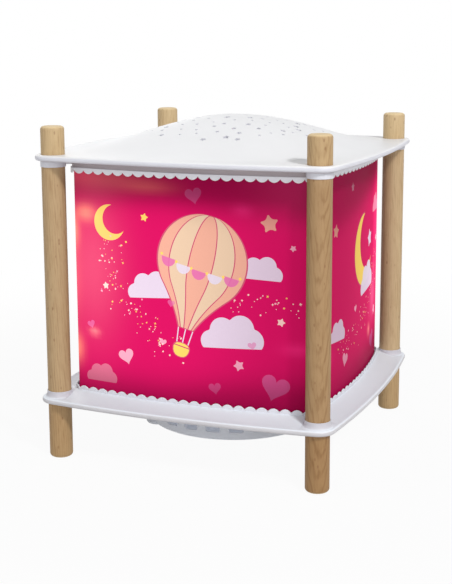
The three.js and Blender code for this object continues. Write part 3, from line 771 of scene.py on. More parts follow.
def make_object(name: str, points: Sequence[Vector], faces: Sequence[tuple[int, ...]],
                material: Material) -> Object:
    """Makes an object at the origin.

    Args:
        name: Its name.
        points: Its points in metres.
        faces: Its faces.
        material: Its material.

    Returns:
        The object, linked to the scene.
    """
    mesh = bpy.data.meshes.new(name)
    mesh.from_pydata(points, [], faces)
    mesh.materials.append(material)
    piece = bpy.data.objects.new(name, mesh)
    bpy.context.scene.collection.objects.link(piece)
    return piece


def tidy(piece: Object, angle: float = 34.0) -> None:
    """Welds a closed mesh, points its faces outwards and shades it smooth between sharp edges.

    Args:
        piece: The object.
        angle: Edges that bend more than this, in degrees, stay sharp.
    """
    work = bmesh.new()
    work.from_mesh(piece.data)
    bmesh.ops.remove_doubles(work, verts=work.verts, dist=1e-7)
    bmesh.ops.recalc_face_normals(work, faces=work.faces)
    work.to_mesh(piece.data)
    work.free()
    piece.data.shade_smooth()
    piece.data.set_sharp_from_angle(angle=math.radians(angle))


def settle(piece: Object) -> None:
    """Turns an object's modifiers into its plain mesh.

    Args:
        piece: The object.
    """
    graph = bpy.context.evaluated_depsgraph_get()
    mesh = bpy.data.meshes.new_from_object(piece.evaluated_get(graph))
    piece.modifiers.clear()
    old = piece.data
    piece.data = mesh
    bpy.data.meshes.remove(old)


class Carving(Enum):
    """What a tool does to a piece."""

    JOIN = "UNION"
    CUT = "DIFFERENCE"


def carve(piece: Object, tool: Shape, carving: Carving) -> None:
    """Joins a shape to a piece or cuts it out.

    Args:
        piece: The object that changes.
        tool: Closed shapes that don't cross each other.
        carving: Whether the tool is joined or cut.
    """
    other = tool.build("tool", piece.data.materials[0])
    modifier = piece.modifiers.new("carving", "BOOLEAN")
    modifier.operation = carving.value
    modifier.solver = "MANIFOLD"
    modifier.object = other
    settle(piece)
    bpy.data.objects.remove(other)


def skin(rings: Sequence[Sequence[Vector]], wrap: bool = False) -> Shape:
    """Closed skin over rings of points.

    Args:
        rings: Loops of equal count, or single points as poles.
        wrap: Whether the last ring joins the first.

    Returns:
        The skin.
    """
    shape = Shape()
    starts = []
    for ring in rings:
        starts.append(len(shape.points))
        shape.points.extend(Vector(point) for point in ring)
    pairs = list(zip(range(len(rings)), range(1, len(rings))))
    if wrap:
        pairs.append((len(rings) - 1, 0))
    for low, high in pairs:
        count = max(len(rings[low]), len(rings[high]))
        for i in range(count):
            following = (i + 1) % count
            corners = [starts[ring] + (step if len(rings[ring]) > 1 else 0)
                       for ring, step in ((low, i), (low, following), (high, following), (high, i))]
            shape.faces.append(tuple(dict.fromkeys(corners)))
    return shape


def lathe(profile: Sequence[Pair], sides: int = 96) -> Shape:
    """Turned body.

    Args:
        profile: Radius and height of each ring; it starts and ends on the axis, or closes on itself.
        sides: Points of each ring.

    Returns:
        The closed body.
    """
    rings = []
    for radius, height in profile:
        if radius < 1e-6:
            rings.append([Vector((0, 0, height))])
            continue
        turns = [2 * math.pi * i / sides for i in range(sides)]
        rings.append([Vector((radius * math.cos(t), radius * math.sin(t), height)) for t in turns])
    return skin(rings, wrap=profile[0][0] > 1e-6)


def rod(radius: float, low: float, high: float, sides: int) -> Shape:
    """Plain upright cylinder on the axis."""
    return lathe([(0, low), (radius, low), (radius, high), (0, high)], sides)


def arc(centre: Pair, radius: float, start: float, end: float,
        steps: int = 6) -> list[Pair]:
    """Points of an arc in a plane.

    Args:
        centre: The arc's centre.
        radius: Its radius.
        start: First angle in degrees.
        end: Last angle in degrees.
        steps: Chords between the two.

    Returns:
        The points, both ends included.
    """
    turns = [math.radians(start + (end - start) * i / steps) for i in range(steps + 1)]
    return [(centre[0] + radius * math.cos(t), centre[1] + radius * math.sin(t)) for t in turns]


def rounded_box(low: Sequence[float], high: Sequence[float], radius: float = 0.3, steps: int = 3) -> Shape:
    """Upright box with round vertical and horizontal edges.

    Args:
        low: Lowest corner.
        high: Highest corner.
        radius: Radius of the edges.
        steps: Chords of a quarter round.

    Returns:
        The closed box.
    """
    middle = Vector([(a + b) / 2 for a, b in zip(low[:2], high[:2])])
    half = [(b - a) / 2 - radius for a, b in zip(low, high)]

    def ring(reach: float, height: float) -> list[Vector]:
        """Rounded rectangle at a height, whose corners have a radius.

        Args:
            reach: Radius of its corners.
            height: Its height.

        Returns:
            Its points, counterclockwise.
        """
        points = []
        for quarter, (sx, sy) in enumerate(((1, 1), (-1, 1), (-1, -1), (1, -1))):
            start = 90 * quarter
            points += arc((sx * half[0], sy * half[1]), max(reach, 1e-3), start, start + 90, steps)
        return lifted([middle + Vector(point) for point in points], height)

    rings = [lifted([middle], low[2])]
    rings += [ring(x, low[2] + radius + z) for x, z in arc((0, 0), radius, -90, 0, steps)]
    rings += [ring(x, high[2] - radius + z) for x, z in arc((0, 0), radius, 0, 90, steps)]
    return skin([*rings, lifted([middle], high[2])])


@dataclass(frozen=True)
class BulgedSquare:
    """Square outline with round corners and sides that bulge as arcs, tangent to the corners."""

    centre: float
    corner: float
    bulge: float

    @property
    def side_radius(self) -> float:
        """Radius of a side's arc."""
        return (self.centre ** 2 / self.bulge + 2 * self.corner + self.bulge) / 2

    @property
    def side_centre(self) -> float:
        """Place of a side's centre on the axis that it faces."""
        return self.centre + self.corner + self.bulge - self.side_radius

    @property
    def lean(self) -> float:
        """Half the angle of a side's arc."""
        return math.atan2(self.centre, self.centre - self.side_centre)

    def lengths(self, inset: float) -> Pair:
        """Length of half a corner and of a side, drawn in by an inset."""
        return ((math.pi / 4 - self.lean) * (self.corner - inset),
                2 * self.lean * (self.side_radius - inset))

    def quarter(self, inset: float) -> float:
        """Length from the middle of a corner to the middle of the next."""
        half_corner, side = self.lengths(inset)
        return 2 * half_corner + side

    def place(self, distance: float, measured: float, inset: float) -> Vector:
        """Point of the outline.

        Args:
            distance: Way along the line, from the middle of the back left corner past the left side.
            measured: Inset of the line on which the way is measured.
            inset: Inset of the line on which the point lies.

        Returns:
            The point in the plane.
        """
        quarter = self.quarter(measured)
        side = math.floor(distance / quarter) % 4
        rest = distance - math.floor(distance / quarter) * quarter
        half_corner, length = self.lengths(measured)
        if rest < half_corner:
            angle = -math.pi / 4 + (math.pi / 4 - self.lean) * rest / half_corner
            point = Vector((self.centre, -self.centre)) + (self.corner - inset) * unit(angle)
        elif rest < half_corner + length:
            angle = -self.lean + 2 * self.lean * (rest - half_corner) / length
            point = Vector((self.side_centre, 0)) + (self.side_radius - inset) * unit(angle)
        else:
            angle = self.lean + (math.pi / 4 - self.lean) * (rest - half_corner - length) / half_corner
            point = Vector((self.centre, self.centre)) + (self.corner - inset) * unit(angle)
        facing = math.radians(180 + 90 * side)
        return Matrix.Rotation(facing, 2) @ point

    def stops(self, measured: float, side_steps: int = 24, corner_steps: int = 6) -> list[float]:
        """Ways along the line at which a smooth loop needs its points.

        Args:
            measured: Inset of the line on which the ways are measured.
            side_steps: Chords of a side.
            corner_steps: Chords of half a corner.

        Returns:
            Rising ways from 0, one loop long.
        """
        half_corner, length = self.lengths(measured)
        runs = ((0.0, half_corner, corner_steps), (half_corner, length, side_steps),
                (half_corner + length, half_corner, corner_steps))
        return [side * self.quarter(measured) + start + run * i / steps
                for side in range(4) for start, run, steps in runs for i in range(steps)]

    def loop(self, inset: float = 0.0) -> list[Vector]:
        """Closed loop of points, counterclockwise from above."""
        return [self.place(way, inset, inset) for way in self.stops(inset)]


SHADE_LINE = BulgedSquare(61.7, 6.5, 5.0)


def unit(angle: float) -> Vector:
    """Unit vector in the plane at an angle in radians."""
    return Vector((math.cos(angle), math.sin(angle)))


def lifted(points: Iterable[Vector], height: float) -> list[Vector]:
    """Points of the plane, at a height."""
    return [point.to_3d() + Vector((0, 0, height)) for point in points]


def upright_strip(line: BulgedSquare, insets: Pair, heights: Pair, ways: Sequence[float] | None = None,
                  bevel: float = 0.15) -> Shape:
    """Closed strip that stands on an outline.

    Args:
        line: The outline.
        insets: Inset of the outer and of the inner face.
        heights: Lower and upper edge.
        ways: Ways along the outer face at which the strip has its columns.
        bevel: Width of the flat bevels along its edges.

    Returns:
        The strip as a ring.
    """
    outer, inner = insets
    low, high = heights
    ways = ways or line.stops(outer)
    profile = [(outer, low + bevel), (outer, high - bevel), (outer + bevel, high), (inner - bevel, high),
               (inner, high - bevel), (inner, low + bevel), (inner - bevel, low), (outer + bevel, low)]
    return skin([lifted((line.place(way, outer, inset) for way in ways), height)
                 for inset, height in profile], wrap=True)


# Geometry Nodes


class Tree(Graph):
    """A Geometry Nodes tree with named inputs, which ends in realized instances and one material."""

    KINDS = {float: "NodeSocketFloat", int: "NodeSocketInt"}

    def __init__(self, name: str, sizes: Mapping[str, float | int]) -> None:
        """Starts a tree.

        Args:
            name: The tree's name.
            sizes: Named inputs and their values.
        """
        super().__init__(bpy.data.node_groups.new(name, "GeometryNodeTree"))
        face = self.tree.interface
        face.new_socket("Geometry", in_out="INPUT", socket_type="NodeSocketGeometry")
        self.identifiers = {}
        for label, value in sizes.items():
            socket = face.new_socket(label, in_out="INPUT", socket_type=self.KINDS[type(value)])
            self.identifiers[label] = socket.identifier
        socket = face.new_socket("Material", in_out="INPUT", socket_type="NodeSocketMaterial")
        self.identifiers["Material"] = socket.identifier
        face.new_socket("Geometry", in_out="OUTPUT", socket_type="NodeSocketGeometry")
        self.sizes = dict(sizes)
        self.inputs = self.node("NodeGroupInput")

    def given(self, label: str) -> Number:
        """A named input as a number."""
        return self.number(self.inputs.outputs[label])

    def geometry(self) -> Socket:
        """The piece that the tree works on."""
        return self.inputs.outputs["Geometry"]

    def vector(self, x: Any = 0.0, y: Any = 0.0, z: Any = 0.0) -> Socket:
        """Vector of three numbers."""
        return self.node("ShaderNodeCombineXYZ", None, {0: x, 1: y, 2: z}).outputs[0]

    def attribute(self, name: str) -> Number:
        """Number stored on the piece."""
        return self.number(self.node("GeometryNodeInputNamedAttribute", {"data_type": "FLOAT"},
                                     {"Name": name}).outputs[0])

    def index(self) -> Number:
        """Index of the point at hand."""
        return self.number(self.node("GeometryNodeInputIndex").outputs[0])

    def between(self, low: float, high: float, seed: int) -> Number:
        """Random number between two others, the same on each run.

        Args:
            low: The smallest value.
            high: The largest value.
            seed: Seed of the draw.

        Returns:
            The number, drawn for each point.
        """
        node = self.node("FunctionNodeRandomValue", {"data_type": "FLOAT"},
                         {2: low, 3: high, "Seed": seed})
        return self.number(node.outputs[1])

    def rounded(self, width: Number, height: Number, radius: Number, steps: int) -> Socket:
        """Rectangle with round corners, as a profile.

        Args:
            width: Its width.
            height: Its height.
            radius: Radius of its corners.
            steps: Chords of a corner.

        Returns:
            The closed profile.
        """
        box = self.node("GeometryNodeCurvePrimitiveQuadrilateral", None, {"Width": width, "Height": height})
        return self.node("GeometryNodeFilletCurve", {"mode": "POLY"},
                         {"Curve": box.outputs[0], "Count": steps, "Radius": radius}).outputs[0]

    def bar(self, profile: Socket, start: Socket, end: Socket) -> Socket:
        """Closed bar of a profile between two points.

        Args:
            profile: The closed profile.
            start: Where the bar starts.
            end: Where it ends.

        Returns:
            The bar's mesh.
        """
        line = self.node("GeometryNodeCurvePrimitiveLine", None, {"Start": start, "End": end})
        return self.node("GeometryNodeCurveToMesh", None, {
            "Curve": line.outputs[0], "Profile Curve": profile, "Fill Caps": True}).outputs[0]

    def upright_bar(self, profile: Socket) -> Socket:
        """Bar between the heights that the tree is given as Low and High."""
        return self.bar(profile, self.vector(z=self.given("Low")), self.vector(z=self.given("High")))

    def copies(self, place: Socket, shape: Socket, rotation: Socket, scale: Any = WHITE,
               chosen: Any = True) -> Socket:
        """Realized copies of a shape, as many as the tree is given as Count.

        Args:
            place: Each copy's place.
            shape: The shape.
            rotation: Euler angles of each copy.
            scale: Scale of each copy.
            chosen: Which copies are made.

        Returns:
            The copies.
        """
        points = self.node("GeometryNodePoints", None, {"Count": self.given("Count"), "Position": place})
        placed = self.node("GeometryNodeInstanceOnPoints", None, {
            "Points": points.outputs[0], "Selection": chosen, "Instance": shape, "Rotation": rotation,
            "Scale": scale})
        return self.node("GeometryNodeRealizeInstances", None, {"Geometry": placed.outputs[0]}).outputs[0]

    def carved(self, tools: Socket, carving: Carving) -> Socket:
        """The piece with the tools joined to it or cut out.

        Args:
            tools: Closed shapes.
            carving: Whether they are joined or cut out.

        Returns:
            The result.
        """
        own = "Mesh 2" if carving is Carving.JOIN else "Mesh 1"
        node = self.node("GeometryNodeMeshBoolean", {"operation": carving.value, "solver": "MANIFOLD"},
                         {own: self.geometry()})
        self.feed(node.inputs["Mesh 2"], tools)
        return node.outputs[0]

    def apply(self, piece: Object, result: Socket) -> None:
        """Closes the tree, runs it on a piece and keeps the result as the piece's mesh.

        Args:
            piece: The object that the tree works on.
            result: The tree's last geometry.
        """
        whole = self.node("GeometryNodeRealizeInstances", None, {"Geometry": result})
        dressed = self.node("GeometryNodeSetMaterial", None,
                            {"Geometry": whole.outputs[0], "Material": self.inputs.outputs["Material"]})
        self.node("NodeGroupOutput", None, {"Geometry": dressed.outputs[0]})
        modifier = piece.modifiers.new(self.tree.name, "NODES")
        modifier.node_group = self.tree
        for label, value in self.sizes.items():
            modifier[self.identifiers[label]] = value
        modifier[self.identifiers["Material"]] = piece.data.materials[0]
        settle(piece)


# Pieces


@dataclass
class Workshop:
    """Materials by slot, and the calls that hand a finished piece to the frame."""

    materials: dict[Slot, Material]
    nodes: Mapping[str, Object]

    def hand_in(self, piece: Object, body: Body, slot: Slot, *nodes: str) -> None:
        """Lets a piece ride on its body in place of CAD nodes.

        Args:
            piece: The finished object.
            body: The body that it moves with.
            slot: Its material slot; not used.
            nodes: CAD nodes that it stands for.
        """
        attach(piece, body.value)
        if nodes:
            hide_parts(*nodes)
        LOG.info("%s rides on %s: %d faces", piece.name, body.value, len(piece.data.polygons))

    def dress(self, slot: Slot, *nodes: str) -> None:
        """Gives carried-over CAD nodes their finish.

        Args:
            slot: The finish's slot.
            nodes: The CAD nodes.
        """
        for name in nodes:
            slots = self.nodes[name].data.materials
            slots.clear()
            slots.append(self.materials[slot])
            LOG.info("%s keeps its shape in %s", name, slot.value)


@dataclass(frozen=True)
class PostCut:
    """How one post was cut from the tree: where the pith lies and how the grain runs."""

    pith_angle: float
    pith_distance: float
    tilt: float
    shift: float
    heartwood: float


@dataclass
class Posts:
    """Four turned beech posts with softly rounded ends."""

    radius: float = POST_RADIUS
    end_round: float = 1.8
    height: float = 180.0
    rings: int = 30
    # Length below the top over which the heartwood tone thins: painted light that lightens the stub.
    stub: float = 22.0
    cuts: tuple[PostCut, ...] = (
        PostCut(-66.0, 11.5, 0.075, 0.0, 0.9), PostCut(40.0, 26.0, 0.012, 310.0, 0.48),
        PostCut(160.0, 31.0, 0.02, 620.0, 0.08), PostCut(12.0, 22.0, 0.018, 930.0, 0.2))

    def profile(self) -> list[Pair]:
        """Radius and height from the foot to the top.

        Returns:
            The points, both on the axis at their ends.
        """
        low = arc((self.radius - self.end_round, self.end_round), self.end_round, -90, 0, 7)
        span = self.height - 2 * self.end_round
        middle = [(self.radius, self.end_round + span * i / self.rings) for i in range(1, self.rings)]
        high = arc((self.radius - self.end_round, self.height - self.end_round), self.end_round, 0, 90, 7)
        flats = [self.radius * share for share in (0.35, 0.65)]
        foot = [(0.0, 0.0), *((r, 0.0) for r in flats)]
        return [*foot, *low, *middle, *high, *((r, self.height) for r in reversed(flats)), (0.0, self.height)]

    def make(self, workshop: Workshop) -> None:
        """Makes the posts and hands them in.

        Args:
            workshop: The materials, and the calls that hand a piece in.
        """
        body = lathe(self.profile(), 56)
        for (corner, sx, sy), cut in zip(CORNERS, self.cuts):
            centre = Vector((sx * POST_OFFSET, sy * POST_OFFSET, 0))
            piece = body.shifted(*centre).build(f"{corner}_beech_post", workshop.materials[Slot.BEECH])
            self._store_grain(piece, centre, cut)
            workshop.hand_in(piece, Body.FRAME, Slot.BEECH, f"{corner}_post")

    def _store_grain(self, piece: Object, centre: Vector, cut: PostCut) -> None:
        """Stores where each point lay in the tree, in millimetres from the pith.

        Args:
            piece: The post.
            centre: The post's axis.
            cut: How it was cut.
        """
        turn = Matrix.Rotation(math.radians(-cut.pith_angle), 3, "Z")
        attribute = piece.data.attributes.new("grain", "FLOAT_VECTOR", "POINT")
        for vertex, item in zip(piece.data.vertices, attribute.data):
            local = turn @ (vertex.co / MM - centre)
            item.vector = (local.x + cut.pith_distance + cut.tilt * local.z, local.y,
                           local.z + cut.shift)
        # The heartwood tone thins towards the top of the post, as painted light on the stub above the roof.
        tone = piece.data.attributes.new("heartwood", "FLOAT", "POINT")
        tone.data.foreach_set("value", [
            cut.heartwood * min(1.0, max(0.6, (self.height - v.co.z / MM) / self.stub))
            for v in piece.data.vertices])


@dataclass
class Plate:
    """What the roof and the base plate share: outline, rim, collars, webs, rail and lugs."""

    outline: BulgedSquare = BulgedSquare(POST_OFFSET, 9.4, 4.3)
    thickness: float = 3.0
    rim_round: float = 1.35
    weld: float = 0.03
    sleeve: float = POST_RADIUS + 0.15
    collar_wall: float = 0.3
    collar_inner: float = POST_RADIUS - 1.0
    collar_height: float = 3.4
    collar_cove: Pair = (1.4, 2.7)
    rail_insets: Pair = (0.8, 1.5)
    rail_height: float = 3.6
    web_thickness: float = 1.4
    web_height: float = 2.5
    lug_inset: float = 2.4
    lug_size: Triple = (1.4, 9.0, 3.4)
    lug_spread: float = 34.0

    def ring(self, inset: float, height: float) -> list[Vector]:
        """Loop of the plate's outline at a height."""
        return lifted(self.outline.loop(inset), height)

    def rim(self, bottom: float) -> list[list[Vector]]:
        """Rounded rim from the lower face to the upper one.

        Args:
            bottom: Height of the lower face.

        Returns:
            Its loops.
        """
        low = arc((0, bottom + self.rim_round), self.rim_round, -90, 0, 6)
        high = arc((0, bottom + self.thickness - self.rim_round), self.rim_round, 0, 90, 6)
        return [self.ring(self.rim_round - reach, height) for reach, height in [*low, *high]]

    def ends(self, face: float, direction: int, length: float) -> Pair:
        """Low and high end of a part that is rooted in the plate and stands off its face.

        Args:
            face: The face's height.
            direction: 1 if the part stands up, -1 if it hangs down.
            length: How far it stands off the face.

        Returns:
            The lower and the higher end.
        """
        root = face - direction * self.thickness / 2
        tip = face + direction * length
        return min(root, tip), max(root, tip)

    def cove(self, wall: float, face: float, steps: int = 7) -> list[Pair]:
        """Hollow slope from a face up to a collar, which starts with a small upright step.

        Args:
            wall: The collar's radius.
            face: The face's height.
            steps: Chords of the slope.

        Returns:
            Radius and height of its points, from the face up.
        """
        width, height = self.collar_cove
        step, rise = face + self.weld, height - self.weld
        turns = [math.pi / 2 * i / steps for i in range(steps + 1)]
        return [(wall + width - width * math.sin(t), step + rise * (1 - math.cos(t))) for t in turns]

    def collars(self, face: float, direction: int) -> Shape:
        """Collars round the posts, with softly rounded free edges.

        Args:
            face: Height of the face that they stand on.
            direction: 1 if they stand up, -1 if they hang down.

        Returns:
            Four closed rings.
        """
        low, high = self.ends(face, direction, self.collar_height)
        inner, outer, soft = self.collar_inner, self.sleeve + self.collar_wall, self.collar_wall / 2
        if direction > 0:
            profile = [(inner, low), (outer + self.collar_cove[0], low), *self.cove(outer, face),
                       *arc((outer - soft, high - soft), soft, 0, 90, 4), (inner, high)]
        else:
            profile = [(inner, low), *arc((outer - soft, low + soft), soft, -90, 0, 4), (outer, high),
                       (inner, high)]
        return lathe(profile, 72).at_posts()

    def post_holes(self, low: float, high: float) -> Shape:
        """Cutters of the four post holes."""
        return rod(self.sleeve, low, high, 72).at_posts()

    def webs(self, face: float, direction: int) -> Shape:
        """Webs from the rail's corners to the collars.

        Args:
            face: Height of the face that they stand on.
            direction: 1 if they stand up, -1 if they hang down.

        Returns:
            Four closed bars.
        """
        low, high = self.ends(face, direction, self.web_height)
        start = math.sqrt(2) * SHADE_LINE.centre + SHADE_LINE.corner - sum(self.rail_insets) / 2
        end = math.sqrt(2) * POST_OFFSET - self.sleeve - self.collar_wall / 2
        half = self.web_thickness / 2
        return rounded_box((start, -half, low), (end, half, high), 0.15).round_axis(*DIAGONAL)

    def rail(self, face: float, direction: int) -> Shape:
        """Rail in front of the film."""
        return upright_strip(SHADE_LINE, self.rail_insets, self.ends(face, direction, self.rail_height))

    def lugs(self, face: float, direction: int) -> Shape:
        """Lugs behind the film, two to a side.

        Args:
            face: Height of the face that they stand on.
            direction: 1 if they stand up, -1 if they hang down.

        Returns:
            Eight closed blocks.
        """
        thickness, length, height = self.lug_size
        low, high = self.ends(face, direction, height)
        reach = self.lug_spread + length / 2
        outer = SHADE_LINE.side_centre + math.sqrt(
            (SHADE_LINE.side_radius - self.lug_inset) ** 2 - reach ** 2)
        return gathered(rounded_box((outer - thickness, place - length / 2, low),
                                    (outer, place + length / 2, high), 0.25)
                        for place in (-self.lug_spread, self.lug_spread)).round_axis(*STRAIGHT)

    def furnish(self, piece: Object, face: float, direction: int) -> None:
        """Joins collars, rail, webs and lugs to a plate.

        Args:
            piece: The plate.
            face: Height of the face that they stand on.
            direction: 1 if they stand up, -1 if they hang down.
        """
        for part in (self.collars, self.rail, self.webs, self.lugs):
            carve(piece, part(face, direction), Carving.JOIN)


@dataclass
class Roof(Plate):
    """Domed roof, perforated on a spiral."""

    bottom: float = 162.1
    rise: float = 17.5
    reach: float = 78.5
    squareness: float = 3.0
    flare: float = 0.7
    ring_count: int = 40
    rail_height: float = 5.0
    hole_count: int = 104
    hole_start: float = 4.0
    hole_reach: float = 51.0
    hole_radius: float = 1.5
    hole_waist: float = 0.62
    hole_wander: float = 1.7
    hole_sizes: Pair = (0.6, 1.5)
    clearance: float = 2.0
    post_cut: Pair = (158.0, 170.0)

    def dome(self, x: float, y: float) -> float:
        """Height of the dome above the flat of the roof."""
        q = (abs(x) ** self.squareness + abs(y) ** self.squareness) ** (1 / self.squareness)
        return self.rise * ((1 + math.cos(math.pi * min(q / self.reach, 1))) / 2) ** self.flare

    def dome_rings(self, level: float) -> list[list[Vector]]:
        """Rings of one face of the dome, from the pole outwards.

        Args:
            level: Height of the face at the roof's rim.

        Returns:
            The pole, then the loops.
        """
        rings = [[Vector((0, 0, level + self.rise))]]
        edge = self.outline.loop(self.rim_round)
        for i in range(1, self.ring_count):
            loop = [point * (i / self.ring_count) for point in edge]
            rings.append([Vector((p.x, p.y, level + self.dome(p.x, p.y))) for p in loop])
        return rings

    def make(self, workshop: Workshop) -> None:
        """Makes the roof and hands it in.

        Args:
            workshop: The materials, and the calls that hand a piece in.
        """
        under = self.dome_rings(self.bottom)
        over = self.dome_rings(self.bottom + self.thickness)
        shape = skin([*under, *self.rim(self.bottom), *reversed(over)])
        piece = shape.build("domed_roof", workshop.materials[Slot.MOULDING])
        self.furnish(piece, self.bottom, -1)
        carve(piece, self.post_holes(*self.post_cut), Carving.CUT)
        self._perforate(piece)
        tidy(piece)
        workshop.hand_in(piece, Body.FRAME, Slot.MOULDING, "roof")

    def _perforate(self, piece: Object) -> None:
        """Cuts small star-shaped holes on a sunflower spiral, of uneven size and turn.

        Args:
            piece: The object that changes.
        """
        tree = Tree("roof_perforations", {
            "Count": self.hole_count, "Start": self.hole_start * MM, "Reach": self.hole_reach * MM,
            "Hole Radius": self.hole_radius * MM, "Low": (self.bottom - self.clearance) * MM,
            "High": (self.bottom + self.thickness + self.rise + self.clearance) * MM})
        step, start, radius = tree.index(), tree.given("Start"), tree.given("Hole Radius")
        reach = start + (tree.given("Reach") - start) * ((step + 0.5) / tree.given("Count")).root()
        angle = step * (math.pi * (3 - math.sqrt(5)))
        wander = self.hole_wander * MM
        place = tree.vector(reach * angle.cosine() + tree.between(-wander, wander, 5),
                            reach * angle.sine() + tree.between(-wander, wander, 6))
        star = tree.node("GeometryNodeCurveStar", None, {
            "Points": 5, "Inner Radius": radius * self.hole_waist, "Outer Radius": radius})
        smallest, largest = self.hole_sizes
        size = tree.between(0.0, 1.0, 8) ** 2 * (largest - smallest) + smallest
        turn = tree.vector(z=tree.between(0.0, 2 * math.pi, 9))
        tools = tree.copies(place, tree.upright_bar(star.outputs[0]), turn, tree.vector(size, size, 1.0))
        tree.apply(piece, tree.carved(tools, Carving.CUT))


@dataclass
class BasePlate(Plate):
    """Base plate with the keyed hole of the lamp unit and the bosses of the needle yoke."""

    bottom: float = 31.0
    hole_radius: float = 45.3
    notch_radius: float = 48.5
    notch_angle: float = 18.0
    notch_azimuth: float = 54.0
    hole_steps: int = 144
    boss_radius: float = 3.1
    boss_round: float = 0.4
    boss_height: float = 4.6
    boss_place: float = 51.6
    socket_radius: float = 1.5
    post_cut: Pair = (28.0, 40.0)
    band_steps: int = 10
    band_gap: float = 0.03
    band_land: float = 0.15
    band_slope: Pair = (1.75, 2.8)
    band_hollow: float = 1.45

    def make(self, workshop: Workshop) -> None:
        """Makes the base plate and hands it in.

        Args:
            workshop: The materials, and the calls that hand a piece in.
        """
        top = self.bottom + self.thickness
        rim = self.rim(self.bottom)
        shape = skin([[Vector((0, 0, self.bottom))], self._halved(rim[0]), *rim, self._halved(rim[-1]),
                      [Vector((0, 0, top))]])
        piece = shape.build("moulded_base_plate", workshop.materials[Slot.MOULDING])
        self.furnish(piece, top, 1)
        carve(piece, self._band_cove(top), Carving.JOIN)
        carve(piece, self._bosses(top), Carving.JOIN)
        carve(piece, self.post_holes(*self.post_cut), Carving.CUT)
        carve(piece, self._lamp_hole(top), Carving.CUT)
        carve(piece, rod(self.socket_radius, top, top + self.boss_height + 1, 24).paired(self.boss_place),
              Carving.CUT)
        tidy(piece)
        workshop.hand_in(piece, Body.FRAME, Slot.MOULDING, "base_plate")

    def _band_cove(self, top: float) -> Shape:
        """Hollow slope from the plate's rim up to the scalloped band.

        Args:
            top: Height of the plate's upper face.

        Returns:
            The slope as a closed ring.
        """
        inset, height = self.band_slope
        low, high, start = top - self.thickness / 2, top + height, top + self.weld
        foot = self.outline.loop(inset)
        back = SHADE_LINE.loop(-self.band_gap)
        wall = SHADE_LINE.loop(-self.band_gap - self.band_land)
        rings = [lifted(foot, low)]
        for i in range(self.band_steps + 1):
            share = i / self.band_steps
            rings.append(lifted((out.lerp(near, share) for out, near in zip(foot, wall)),
                                start + (high - start) * share ** self.band_hollow))
        return skin([*rings, lifted(back, high), lifted(back, low)], wrap=True)

    @staticmethod
    def _halved(ring: Sequence[Vector]) -> list[Vector]:
        """Ring drawn halfway towards the axis."""
        return [Vector((p.x / 2, p.y / 2, p.z)) for p in ring]

    def _bosses(self, top: float) -> Shape:
        """Bosses in which the yoke stands.

        Args:
            top: Height of the plate's upper face.

        Returns:
            Two closed bosses.
        """
        low, high = self.ends(top, 1, self.boss_height)
        soft = self.boss_round
        return lathe([(0, low), (self.boss_radius, low),
                      *arc((self.boss_radius - soft, high - soft), soft, 0, 90, 4), (0, high)],
                     40).paired(self.boss_place)

    def _lamp_hole(self, top: float) -> Shape:
        """Cutter of the round hole with its three notches.

        Args:
            top: Height of the plate's upper face.

        Returns:
            The closed cutter.
        """
        points = []
        for i in range(self.hole_steps):
            angle = 360 * i / self.hole_steps
            off = (angle - self.notch_azimuth + 60) % 120 - 60
            radius = self.notch_radius if abs(off) <= self.notch_angle / 2 else self.hole_radius
            points.append(unit(math.radians(angle)) * radius)
        axis = [Vector((0, 0))]
        low, high = self.bottom - 1, top + 1
        return skin([lifted(axis, low), lifted(points, low), lifted(points, high), lifted(axis, high)])


